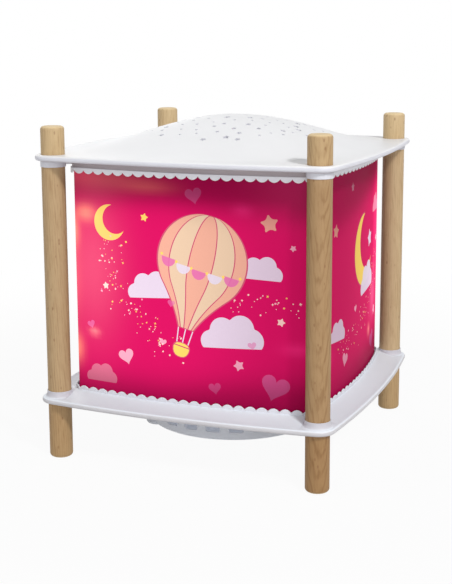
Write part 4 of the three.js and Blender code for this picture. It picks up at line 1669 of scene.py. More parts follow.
@dataclass
class Edging:
    """One scalloped band round the shade, rooted at a height and pointing up or down."""

    name: str
    node: str
    root: float
    height: float
    direction: int
    notched: bool
    thickness: float = 0.6
    bevel: float = 0.12
    count: int = 88
    depth: float = 2.1
    columns: int = 14
    roundness: float = 0.55
    notch: Triple = (6.0, 2.0, 2.5)

    def make(self, workshop: Workshop) -> None:
        """Makes the band and hands it in.

        Args:
            workshop: The materials, and the calls that hand a piece in.
        """
        pitch = 4 * SHADE_LINE.quarter(0.0) / self.count
        ways, swings = [], []
        for scallop in range(self.count):
            for column in range(self.columns):
                swing = math.sin(-math.pi / 2 + math.pi * column / self.columns)
                ways.append(pitch * (scallop + swing / 2))
                swings.append(swing)
        tip = self.root + self.direction * self.height
        heights = (min(self.root, tip), max(self.root, tip))
        shape = upright_strip(SHADE_LINE, (0.0, self.thickness), heights, ways, self.bevel)
        piece = shape.build(self.name, workshop.materials[Slot.MOULDING])
        self._store_swing(piece, ways, swings, tip)
        self._scallop(piece)
        if self.notched:
            carve(piece, self._notches(), Carving.CUT)
        tidy(piece)
        workshop.hand_in(piece, Body.FRAME, Slot.MOULDING, self.node)

    def _store_swing(self, piece: Object, ways: Sequence[float], swings: Sequence[float], tip: float) -> None:
        """Stores each point's place in its scallop, and whether it belongs to the free edge.

        Args:
            piece: The plain strip.
            ways: Ways of its columns.
            swings: Each column's place in its scallop, from -1 to 1.
            tip: Height of the scallops' tips.
        """
        columns = KDTree(len(ways))
        for i, way in enumerate(ways):
            columns.insert(SHADE_LINE.place(way, 0.0, self.thickness / 2).to_3d(), i)
        columns.balance()
        swing = piece.data.attributes.new("swing", "FLOAT", "POINT")
        edge = piece.data.attributes.new("edge", "FLOAT", "POINT")
        for i, vertex in enumerate(piece.data.vertices):
            place = vertex.co / MM
            _, column, _ = columns.find((place.x, place.y, 0))
            swing.data[i].value = swings[column]
            edge.data[i].value = 1.0 if abs(place.z - tip) < self.height / 2 else 0.0

    def _scallop(self, piece: Object) -> None:
        """Draws the free edge in between the scallops, which are round with sharp valleys.

        Args:
            piece: The object that changes.
        """
        tree = Tree(f"{self.name}_scallops", {"Depth": self.depth * MM * self.direction})
        swing = tree.attribute("swing")
        circle = 1 - (1 - swing * swing * 0.9999).root()
        drawn = swing * swing * (1 - self.roundness) + circle * self.roundness
        drop = tree.given("Depth") * drawn * tree.attribute("edge") * -1
        moved = tree.node("GeometryNodeSetPosition", None,
                          {"Geometry": tree.geometry(), "Offset": tree.vector(z=drop)})
        tree.apply(piece, moved.outputs[0])

    def _notches(self) -> Shape:
        """Cutters over the webs that cross under the band at the corners.

        Returns:
            Four closed boxes.
        """
        reach = math.sqrt(2) * SHADE_LINE.centre + SHADE_LINE.corner
        length, width, height = self.notch
        return rounded_box((reach - length / 2, -width / 2, self.root - 1),
                           (reach + length / 2, width / 2, self.root + height), 0.1, 1).round_axis(*DIAGONAL)


# Printed artwork


class Ink(Enum):
    """Inks of the print, as 8-bit sRGB."""

    GROUND = (216, 20, 96)
    LINE = (206, 88, 118)
    BLUSH = (246, 180, 202)
    LILAC = (226, 212, 230)
    CREAM = (230, 198, 168)
    PEACH = (236, 172, 150)
    YELLOW = (250, 212, 104)
    ROSE = (226, 110, 172)
    SPARK = (255, 226, 212)


@dataclass(frozen=True)
class Motif:
    """A printed patch: its outline, its ink and how much of the ground it covers."""

    outline: tuple[Pair, ...]
    ink: Ink
    cover: float = 1.0


def shaped(points: Iterable[Pair], centre: Pair, size: float = 1.0,
           tilt: float = 0.0) -> tuple[Pair, ...]:
    """Outline moved to its place.

    Args:
        points: The outline about its own centre.
        centre: Where the centre goes.
        size: Scale.
        tilt: Turn in degrees.

    Returns:
        The placed outline.
    """
    c, s = math.cos(math.radians(tilt)), math.sin(math.radians(tilt))
    return tuple((centre[0] + size * (x * c - y * s), centre[1] + size * (x * s + y * c)) for x, y in points)


def softened(points: Sequence[Pair], rounds: int = 2) -> list[Pair]:
    """Outline with its corners cut again and again until they look round.

    Args:
        points: The outline's points.
        rounds: How often the corners are cut.

    Returns:
        The rounder outline.
    """
    for _ in range(rounds):
        cut = []
        for (ax, ay), (bx, by) in zip(points, [*points[1:], points[0]]):
            cut.append((0.75 * ax + 0.25 * bx, 0.75 * ay + 0.25 * by))
            cut.append((0.25 * ax + 0.75 * bx, 0.25 * ay + 0.75 * by))
        points = cut
    return list(points)


def star(tips: int = 5, waist: float = 0.46, rounds: int = 2) -> list[Pair]:
    """Star of radius 1 with soft tips.

    Args:
        tips: How many tips.
        waist: Radius between the tips.
        rounds: How often the corners are softened.

    Returns:
        The outline.
    """
    points = []
    for i in range(2 * tips):
        radius = 1.0 if i % 2 == 0 else waist
        angle = math.pi / 2 + math.pi * i / tips
        points.append((radius * math.cos(angle), radius * math.sin(angle)))
    return softened(points, rounds)


def heart() -> list[Pair]:
    """Heart about 2 wide.

    Returns:
        The outline.
    """
    points = []
    for i in range(36):
        t = 2 * math.pi * i / 36
        points.append((math.sin(t) ** 3, (13 * math.cos(t) - 5 * math.cos(2 * t) - 2 * math.cos(3 * t)
                                          - math.cos(4 * t)) / 16))
    return points


def crescent(bite: float = 0.82, shift: float = 0.42) -> list[Pair]:
    """Crescent moon of radius 1, open to the right.

    Args:
        bite: Radius of the bite.
        shift: How far the bite's centre lies to the right.

    Returns:
        The outline.
    """
    reach = (1 + shift ** 2 - bite ** 2) / (2 * shift)
    outer = math.degrees(math.acos(reach))
    inner = math.degrees(math.acos((reach - shift) / bite))
    return [*arc((0, 0), 1.0, outer, 360 - outer, 40),
            *reversed(arc((shift, 0), bite, inner, 360 - inner, 30)[1:-1])]


PUFFS = ((0, 0, 0.36), (-0.42, -0.06, 0.22), (0.4, -0.05, 0.26), (-0.18, 0.16, 0.26), (0.2, 0.2, 0.27))
PEBBLE = ((1, 0), (0.2, 0.7), (-0.8, 0.5), (-0.7, -0.6), (0.4, -0.8))


def cloud(base: float = -0.2) -> list[Pair]:
    """Cloud about 1.3 wide: the hull of round puffs with a flat base.

    Args:
        base: Height of the flat base.

    Returns:
        The outline.
    """
    points = []
    for i in range(96):
        angle = 2 * math.pi * i / 96
        dx, dy = math.cos(angle), math.sin(angle)
        reach = 0.0
        for x, y, radius in PUFFS:
            along = x * dx + y * dy
            inside = radius ** 2 - (x * x + y * y - along ** 2)
            if inside > 0:
                reach = max(reach, along + math.sqrt(inside))
        points.append((reach * dx, max(reach * dy, base)))
    return softened(points, 1)


class Balloon:
    """A hot air balloon of gores, garland, ropes and basket, about an envelope of radius 1."""

    NECK = -0.64
    MOUTH = -1.52
    MOUTH_WIDTH = 0.17

    def width(self, height: float) -> float:
        """Half width of the envelope at a height.

        Args:
            height: The height, from the envelope's centre.

        Returns:
            The half width.
        """
        if height >= self.NECK:
            return math.sqrt(max(0.0, 1 - height ** 2))
        share = (self.NECK - height) / (self.NECK - self.MOUTH)
        start = math.sqrt(1 - self.NECK ** 2)
        ease = share * (1.35 - 0.35 * share)
        return start + (self.MOUTH_WIDTH - start) * min(ease, 1.0)

    def heights(self) -> list[float]:
        """Heights of the envelope's points, from its crown to its mouth.

        Returns:
            Falling heights.
        """
        crown = [math.cos(math.pi * i / 40) for i in range(0, 29)]
        steps = 8
        return [h for h in crown if h > self.NECK] + [
            self.NECK + (self.MOUTH - self.NECK) * i / steps for i in range(steps + 1)]

    def gore(self, left: float, right: float, gap: float) -> list[Pair]:
        """Outline of a gore between two shares of the width, drawn in by a gap.

        Args:
            left: Share of the width on its left.
            right: Share of the width on its right.
            gap: How far it is drawn in.

        Returns:
            The closed outline.
        """
        heights = [h * (1 - gap) for h in self.heights()[1:]]
        one = [(left * self.width(h) + gap, h) for h in heights]
        return one + [(max(right * self.width(h) - gap, x), h) for x, h in reversed(one)]

    def motifs(self, centre: Pair, size: float, tilt: float) -> list[Motif]:
        """The balloon's patches from back to front.

        Args:
            centre: Centre of the envelope.
            size: Radius of the envelope in millimetres.
            tilt: Lean in degrees.

        Returns:
            The patches.
        """
        def put(points: Iterable[Pair], ink: Ink, cover: float = 1.0) -> Motif:
            """One patch on the balloon."""
            return Motif(shaped(points, centre, size, tilt), ink, cover)

        def sag(x: float) -> float:
            """How far the garland hangs at a place."""
            return 0.02 + 0.13 * (1 - (x / 0.98) ** 2)

        hull = self.heights()
        outline = [(self.width(h) + 0.02, h) for h in hull] + [(-self.width(h) - 0.02, h) for h in hull[::-1]]
        patches = []
        for side in (-1, 0, 1):
            low, high = 0.13 * side, 0.17 * side
            patches.append(put([(high - 0.012, -1.5), (high + 0.012, -1.5), (low + 0.012, -1.86),
                                (low - 0.012, -1.86)], Ink.LILAC))
        patches.append(put(outline, Ink.LINE))
        shares = [-1, -0.72, -0.27, 0.27, 0.72, 1]
        for i, (left, right) in enumerate(zip(shares, shares[1:])):
            patches.append(put(self.gore(left, right, 0.012), Ink.CREAM if i % 2 else Ink.PEACH))
        for i in range(6):
            at = -0.9 + 0.36 * i
            if i < 5:
                middle = at + 0.18
                swag = [(middle + 0.165 * x, -0.06 - sag(middle) + 0.19 * y)
                        for x, y in arc((0, 0), 1.0, 180, 360, 12)]
                patches.append(put(swag, Ink.LILAC if i % 2 else Ink.ROSE, 0.9))
            patches.append(put(shaped(star(5, 0.5, 1), (at, -0.06 - sag(at)), 0.045), Ink.YELLOW))
        basket = softened([(-0.2, -1.84), (0.2, -1.84), (0.15, -2.14), (-0.15, -2.14)], 2)
        patches.append(put([(x * 1.12, (y + 1.99) * 1.12 - 1.99) for x, y in basket], Ink.LINE))
        patches.append(put(basket, Ink.YELLOW))
        patches.append(put([(-0.19, -1.9), (0.19, -1.9), (0.185, -1.925), (-0.185, -1.925)], Ink.LINE))
        return patches


@dataclass(frozen=True)
class Glow:
    """A soft patch of light behind the film: place on its side, spreads, strength and colour."""

    across: float
    height: float
    wide: float
    tall: float
    colour: Triple


Row = tuple[float, float, float, float, Ink, float]


class Artwork:
    """The lantern's print: balloons, moons, clouds, stars and hearts with trails of sparks.

    A side is counted from the left one on: 0 for left, 1 for front, 2 for right and 3 for back. Places are
    in millimetres, across the side from its middle and above the table. Rows of the lists hold across,
    height, size, tilt, ink and cover.
    """

    WARM, PALE, RED = (0.5, 0.33, 0.1), (0.42, 0.3, 0.2), (0.14, 0.01, 0.05)
    SIDE_GLOWS = [Glow(-48, 120, 6, 9, WARM), Glow(44, 70, 8, 6, RED), Glow(8, 148, 12, 3, RED),
                  Glow(58, 118, 4, 8, PALE)]
    FRONT_GLOWS = [
        Glow(-54, 106, 17, 34, (0.2, 0.1, 0.1)), Glow(-46, 153, 24, 6, (0.14, 0.05, 0.03)),
        Glow(-66, 124, 3.2, 8, WARM), Glow(-58, 134, 6, 4, WARM), Glow(-68, 98, 5, 20, (0.3, 0.12, 0.06)),
        Glow(-66, 60, 4, 7, WARM), Glow(-54, 70, 3, 2, PALE), Glow(-20, 150, 14, 3, (0.12, 0.05, 0.02)),
        Glow(32, 140, 5, 3, RED), Glow(60, 70, 8, 3, RED), Glow(60, 152, 22, 18, (0.1, 0.01, 0.03)),
        Glow(-62, 156, 12, 8, (0.16, 0.01, 0.02))]
    RIGHT_GLOWS = [Glow(58, 112, 10, 26, (0.55, 0.04, 0.12)), Glow(46, 76, 9, 12, (0.24, 0.12, 0.2)),
                   Glow(34, 58, 3, 3, PALE), Glow(50, 92, 3, 3, (0.3, 0.1, 0.12)), Glow(-46, 60, 9, 5, RED)]
    GLOWS = (SIDE_GLOWS, FRONT_GLOWS, RIGHT_GLOWS, SIDE_GLOWS)
    GLOW_POWER = 0.8
    BRIGHT_SIDE = (-1, 1, -1, 1)
    LAMP_POWER = 0.74
    TOP_BLUR = 3.4
    FOOT_BLUR = 4.5
    DRUM_HEIGHT = 80
    DRUM_SPREAD = 44

    def __init__(self) -> None:
        """Starts the print with its fixed seed."""
        self.random = random.Random(SEED)

    def sparks(self, path: Sequence[Pair], count: int, spread: float,
               sizes: Pair = (0.28, 0.95)) -> list[Motif]:
        """Small sparks scattered along a path.

        Args:
            path: Points of the path.
            count: How many sparks.
            spread: How far they stray from the path.
            sizes: Smallest and largest radius.

        Returns:
            The sparks.
        """
        patches = []
        for _ in range(count):
            place = self.random.random() * (len(path) - 1)
            i = min(int(place), len(path) - 2)
            share = place - i
            x = path[i][0] * (1 - share) + path[i + 1][0] * share + self.random.gauss(0, spread)
            y = path[i][1] * (1 - share) + path[i + 1][1] * share + self.random.gauss(0, spread)
            size = sizes[0] + (sizes[1] - sizes[0]) * self.random.random() ** 3
            outline = star(4, 0.42, 0) if size > 0.7 else PEBBLE
            ink = self.random.choice([Ink.SPARK, Ink.BLUSH, Ink.SPARK, Ink.YELLOW])
            patches.append(Motif(shaped(outline, (x, y), size, self.random.uniform(0, 90)), ink,
                                 self.random.uniform(0.65, 1.0)))
        return patches

    @staticmethod
    def _pieces(outline: Sequence[Pair], *rows: Row) -> list[Motif]:
        """Copies of one outline, one for each row."""
        return [Motif(shaped(outline, (x, y), size, tilt), ink, cover)
                for x, y, size, tilt, ink, cover in rows]

    def front(self) -> list[Motif]:
        """Patches of the printed front.

        Returns:
            The patches from back to front.
        """
        hearts = self._pieces(
            heart(), (-34, 59, 4.6, 18, Ink.BLUSH, 0.85), (-12, 69, 2.0, -14, Ink.BLUSH, 0.8),
            (49, 50, 7.5, -16, Ink.ROSE, 0.55), (-56, 74, 2.4, 20, Ink.ROSE, 0.6),
            (17, 47, 3.4, 10, Ink.ROSE, 0.4), (6, 147, 4.6, 12, Ink.ROSE, 0.45))
        stars = self._pieces(
            star(), (46, 134, 5.4, 10, Ink.PEACH, 0.85), (58, 122, 2.0, 30, Ink.BLUSH, 0.8),
            (-22, 134, 2.6, -12, Ink.YELLOW, 0.95), (30, 60, 3.4, 24, Ink.BLUSH, 0.8),
            (-46, 96, 2.3, 8, Ink.SPARK, 0.9), (52, 84, 2.6, -20, Ink.SPARK, 0.8))
        clouds = self._pieces(
            cloud(), (-19, 96, 21, 4, Ink.LILAC, 0.95), (41, 109, 18, -3, Ink.LILAC, 0.9),
            (26, 74, 26, 2, Ink.LILAC, 0.93), (-50, 46, 15, 0, Ink.BLUSH, 0.35))
        return [*hearts, *stars, clouds[3], *self._pieces(crescent(), (-43, 130, 9.5, 28, Ink.YELLOW, 0.9)),
                *self.sparks([(-4, 66), (-22, 78), (-40, 92), (-46, 106), (-40, 118)], 120, 4.2),
                *self.sparks([(20, 92), (44, 94), (62, 90)], 34, 3.6),
                *clouds[:2], *Balloon().motifs((10, 113), 24.5, -14), clouds[2],
                *self._pieces(heart(), (-7, 90, 2.1, -8, Ink.ROSE, 0.6), (37, 71, 2.3, 12, Ink.ROSE, 0.6))]

    def _moonlit(self, moon: Row, clouds: list[Motif], stars: list[Motif], hearts: list[Motif],
                 trail: Sequence[Pair]) -> list[Motif]:
        """Patches of a side with a large moon in a thin line.

        Args:
            moon: The moon's row.
            clouds: Clouds before the moon.
            stars: The star before the moon, and those behind it.
            hearts: Hearts behind all.
            trail: Path of the sparks.

        Returns:
            The patches from back to front.
        """
        x, y, size, tilt, _, cover = moon
        line = (x, y, size + 0.7, tilt, Ink.LINE, cover)
        return [*hearts, *stars[1:], *self.sparks(trail, 90, 4.4), *self._pieces(crescent(), line, moon),
                stars[0], *clouds]

    def right(self) -> list[Motif]:
        """Patches of the right side.

        Returns:
            The patches from back to front.
        """
        clouds = self._pieces(
            cloud(), (26, 88, 24, 4, Ink.LILAC, 0.93), (-30, 70, 17, -4, Ink.LILAC, 0.85),
            (52, 128, 15, 0, Ink.BLUSH, 0.5))
        stars = self._pieces(
            star(), (33, 112, 6.2, 12, Ink.LILAC, 0.95), (-34, 126, 4.4, -10, Ink.PEACH, 0.8),
            (52, 66, 4.0, 18, Ink.BLUSH, 0.85), (-8, 146, 3.0, 0, Ink.BLUSH, 0.6),
            (58, 108, 2.6, 14, Ink.SPARK, 0.9))
        hearts = self._pieces(
            heart(), (44, 50, 6.2, 14, Ink.ROSE, 0.55), (-18, 54, 4.2, -16, Ink.BLUSH, 0.7),
            (0, 78, 2.2, 8, Ink.BLUSH, 0.8))
        return self._moonlit((18, 108, 20.3, 34, Ink.YELLOW, 1.0), clouds, stars, hearts,
                             [(52, 100), (36, 78), (8, 66), (-26, 60)])

    def back(self) -> list[Motif]:
        """Patches of the back.

        Returns:
            The patches from back to front.
        """
        clouds = self._pieces(
            cloud(), (-36, 112, 20, 3, Ink.LILAC, 0.93), (30, 84, 28, -2, Ink.LILAC, 0.93),
            (48, 138, 14, 0, Ink.LILAC, 0.7))
        stars = self._pieces(
            star(), (40, 118, 7.0, 10, Ink.YELLOW, 0.95), (-10, 140, 3.2, -12, Ink.PEACH, 0.85),
            (-52, 84, 3.8, 20, Ink.BLUSH, 0.8), (8, 56, 4.2, -8, Ink.BLUSH, 0.8),
            (22, 136, 2.2, 0, Ink.SPARK, 0.9))
        hearts = self._pieces(
            heart(), (-38, 56, 6.4, -14, Ink.ROSE, 0.6), (50, 54, 3.6, 12, Ink.BLUSH, 0.75),
            (-56, 132, 3.0, 10, Ink.ROSE, 0.5))
        return [*hearts, *stars, *self.sparks([(40, 112), (16, 98), (-4, 74), (-34, 66)], 90, 4.4), clouds[0],
                *Balloon().motifs((-10, 112), 15.5, 8), *clouds[1:]]

    def left(self) -> list[Motif]:
        """Patches of the left side.

        Returns:
            The patches from back to front.
        """
        clouds = self._pieces(
            cloud(), (-24, 82, 26, 2, Ink.LILAC, 0.93), (34, 118, 19, -3, Ink.LILAC, 0.9),
            (40, 62, 16, 0, Ink.BLUSH, 0.5))
        stars = self._pieces(
            star(), (-22, 110, 5.6, -8, Ink.YELLOW, 0.95), (18, 138, 4.0, 12, Ink.PEACH, 0.8),
            (50, 92, 3.4, -16, Ink.BLUSH, 0.85), (-52, 134, 3.0, 10, Ink.SPARK, 0.8))
        hearts = self._pieces(
            heart(), (-44, 54, 5.6, 16, Ink.ROSE, 0.6), (10, 58, 4.0, -12, Ink.BLUSH, 0.75),
            (-50, 108, 2.4, 8, Ink.BLUSH, 0.8))
        return self._moonlit((-12, 106, 18.3, 150, Ink.CREAM, 1.0), clouds, stars, hearts,
                             [(-36, 118), (-2, 84), (26, 74), (54, 80)])

    def _fade(self, side: int, across: np.ndarray) -> tuple[np.ndarray, np.ndarray, np.ndarray]:
        """How the lamp's light changes across a side.

        Args:
            side: The side.
            across: Places across it.

        Returns:
            The share of the way from its bright end, the light's strength, and the height at which it ends.
        """
        if side == 2:
            start, width, edge, climb = -30, 90, 128, 16
            place = np.clip((across - start) / width, 0, 1)
            strength = 0.42 + 0.78 * place ** 1.5
        else:
            start, width, edge, climb = -12, 78, 142, -6
            place = np.clip((across * self.BRIGHT_SIDE[side] - start) / width, 0, 1)
            strength = 1 - 0.42 * place * place * (3 - 2 * place)
        return place, strength, edge + climb * place

    def lit(self, side: int, across: np.ndarray, height: np.ndarray) -> tuple[np.ndarray, np.ndarray]:
        """How the bulb lights each place of a side.

        Args:
            side: The side.
            across: Places across it.
            height: Their heights.

        Returns:
            The brightness behind the ink, and the light patches' colour.
        """
        place, strength, edge = self._fade(side, across)
        top = 1 / (1 + np.exp((height - edge) / self.TOP_BLUR))
        foot = 1 / (1 + np.exp((45 + 8 * place - height) / self.FOOT_BLUR))
        rest = 0.2 - 0.1 * np.clip((across + 60) / 120, 0, 1)
        extra = np.zeros((len(across), 3))
        for glow in self.GLOWS[side]:
            x, z = (across - glow.across) / glow.wide, (height - glow.height) / glow.tall
            extra += self.GLOW_POWER * np.exp(-x ** 2 - z ** 2)[:, None] * np.array(glow.colour)
        return rest + self.LAMP_POWER * top * foot * strength, extra

    def drum(self) -> list[list[Motif]]:
        """Patches of the turning drum, whose light they throw on the shade.

        Returns:
            One list of patches for each side.
        """
        sides = []
        for _ in range(4):
            stars = []
            for place in range(7):
                x, z = -34 + 11 * place + self.random.uniform(-3, 3), self.random.uniform(56, 138)
                size, tilt = self.random.uniform(2.2, 5.0), self.random.uniform(-30, 30)
                ink = self.random.choice([Ink.SPARK, Ink.YELLOW, Ink.LILAC])
                stars += self._pieces(star(), (x, z, size, tilt, ink, 0.95))
            sides.append(stars)
        return sides

    def drum_lit(self, _: int, across: np.ndarray, height: np.ndarray) -> tuple[np.ndarray, np.ndarray]:
        """Even light of the drum, brightest about the bulb."""
        level = 0.35 + 0.6 * np.exp(-((height - self.DRUM_HEIGHT) / self.DRUM_SPREAD) ** 2)
        return level, np.zeros((len(across), 3))


@dataclass(frozen=True)
class Ring:
    """Round outline, with the same calls as the bulged square."""

    radius: float

    def quarter(self, inset: float) -> float:
        """Length of a quarter turn."""
        return math.pi / 2 * (self.radius - inset)

    def place(self, distance: float, measured: float, inset: float) -> Vector:
        """Point of the line, from the way along it."""
        return unit(distance / (self.radius - measured)) * (self.radius - inset)

    def stops(self, measured: float, side_steps: int, corner_steps: int) -> list[float]:
        """Even ways along the line, one loop long."""
        count = 4 * (side_steps + corner_steps)
        return [4 * self.quarter(measured) * i / count for i in range(count)]


@dataclass
class PrintedSheet:
    """Printed film wrapped round an outline, in one closed sheet."""

    name: str
    node: str
    body: Body
    slot: Slot
    line: BulgedSquare | Ring
    outer: float
    low: float
    high: float
    sides: list[list[Motif]]
    lit: Lit
    thickness: float = 0.5
    step: float = 2.4
    back_light: float = 0.4

    def make(self, workshop: Workshop) -> None:
        """Makes the film and hands it in.

        Args:
            workshop: The materials, and the calls that hand a piece in.
        """
        quarter = self.line.quarter(self.outer)
        motifs = []
        for side, patches in enumerate(self.sides):
            middle = (side + 0.5) * quarter
            motifs += [Motif(tuple((middle + x, z) for x, z in m.outline), m.ink, m.cover) for m in patches]
        ways = self.line.stops(self.outer, round(quarter / self.step), 3) + [4 * quarter]
        rows = np.linspace(self.low, self.high, round((self.high - self.low) / self.step) + 1)
        flat, faces = self._laid_out(ways, rows, motifs)
        piece = self._wrapped(flat, faces, ways, workshop.materials[self.slot])
        self._print(piece, flat, faces, motifs, quarter)
        workshop.hand_in(piece, self.body, self.slot, self.node)

    @staticmethod
    def _laid_out(ways: Sequence[float], rows: np.ndarray,
                  motifs: Sequence[Motif]) -> tuple[np.ndarray, np.ndarray]:
        """Triangles of the flat print, with every motif's outline as edges.

        Args:
            ways: Columns of the grid.
            rows: Its rows.
            motifs: Placed motifs.

        Returns:
            Points and triangles.
        """
        points = [Vector((way, row)) for way in ways for row in rows]
        edges = []
        for motif in motifs:
            start = len(points)
            count = len(motif.outline)
            points.extend(Vector(point) for point in motif.outline)
            edges.extend((start + i, start + (i + 1) % count) for i in range(count))
        result = delaunay_2d_cdt(points, edges, [], 0, 1e-5, False)
        return np.array([tuple(p) for p in result[0]]), np.array([tuple(face) for face in result[2]])

    def _wrapped(self, flat: np.ndarray, faces: np.ndarray, ways: Sequence[float],
                 material: Material) -> Object:
        """The flat print bent round its line, with a plain inner face and rims.

        Args:
            flat: Points of the flat print.
            faces: Its triangles.
            ways: Columns of the grid.
            material: The film's material.

        Returns:
            The closed film.
        """
        total = ways[-1]

        def bent(way: float, height: float, inset: float) -> Vector:
            """Point of the bent print, in metres."""
            place = self.line.place(way % total if way < total - 1e-3 else 0.0, self.outer, inset)
            return Vector((place.x * MM, place.y * MM, height * MM))

        points = [bent(way, height, self.outer) for way, height in flat]
        columns = np.array(ways)
        where, inner = {}, {}
        for i, (way, height) in enumerate(flat):
            if min(abs(height - self.low), abs(height - self.high)) < 1e-3:
                where[int(np.abs(columns - way).argmin()), abs(height - self.low) < 1e-3] = i
        for column, way in enumerate(ways):
            for foot, height in ((True, self.low), (False, self.high)):
                inner[column, foot] = len(points)
                points.append(bent(way, height, self.outer + self.thickness))
        rest = []
        for a, b in zip(range(len(ways)), range(1, len(ways))):
            rest.append((inner[b, True], inner[a, True], inner[a, False], inner[b, False]))
            rest.append((where[a, True], inner[a, True], inner[b, True], where[b, True]))
            rest.append((where[b, False], inner[b, False], inner[a, False], where[a, False]))
        printed = [tuple(int(i) for i in face) for face in faces]
        return make_object(self.name, points, printed + rest, material)

    def _print(self, piece: Object, flat: np.ndarray, faces: np.ndarray,
               motifs: Sequence[Motif], quarter: float) -> None:
        """Stores the ink and the light of every corner, then welds the sheet.

        Args:
            piece: The film.
            flat: Points of the flat print.
            faces: Its triangles.
            motifs: Placed motifs from back to front.
            quarter: Length of one side with its corners.
        """
        ground = np.array(linear(Ink.GROUND.value))
        middles = flat[faces].mean(axis=1)
        ink = np.tile(ground, (len(faces), 1))
        for motif in motifs:
            outline = np.array(motif.outline)
            near = np.all((middles > outline.min(axis=0)) & (middles < outline.max(axis=0)), axis=1)
            chosen = np.flatnonzero(near)
            chosen = chosen[inside(middles[chosen], outline)]
            ink[chosen] += (np.array(linear(motif.ink.value)) - ink[chosen]) * motif.cover
        side = np.clip((flat[:, 0] // quarter).astype(int), 0, 3)
        across = flat[:, 0] - (side + 0.5) * quarter
        level, extra = np.zeros(len(flat)), np.zeros((len(flat), 3))
        for number in range(4):
            mine = side == number
            level[mine], extra[mine] = self.lit(number, across[mine], flat[mine, 1])
        whole = np.ones((len(piece.data.loops), 4))
        shine = np.ones((len(piece.data.loops), 4))
        count = 3 * len(faces)
        corners = faces.reshape(-1)
        whole[:count, :3] = np.repeat(ink, 3, axis=0)
        shine[:count, :3] = whole[:count, :3] * level[corners, None] + extra[corners]
        whole[count:, :3] = ground
        shine[count:, :3] = ground * self.back_light
        for name, values in (("ink", whole), ("light", shine)):
            attribute = piece.data.attributes.new(name, "FLOAT_COLOR", "CORNER")
            attribute.data.foreach_set("color", values.astype(np.float32).reshape(-1))
        tidy(piece)


def inside(points: np.ndarray, outline: np.ndarray) -> np.ndarray:
    """Which points lie inside a closed outline.

    Args:
        points: Points in the plane.
        outline: Points of the outline.

    Returns:
        One truth value for each point.
    """
    found = np.zeros(len(points), dtype=bool)
    for (ax, ay), (bx, by) in zip(outline, np.roll(outline, -1, axis=0)):
        if ay == by:
            continue
        crosses = (ay > points[:, 1]) != (by > points[:, 1])
        reach = (bx - ax) * (points[:, 1] - ay) / (by - ay) + ax
        found ^= crosses & (points[:, 0] < reach)
    return found


# Lamp unit

LYING = Matrix.Rotation(math.pi / 2, 4, "Y")


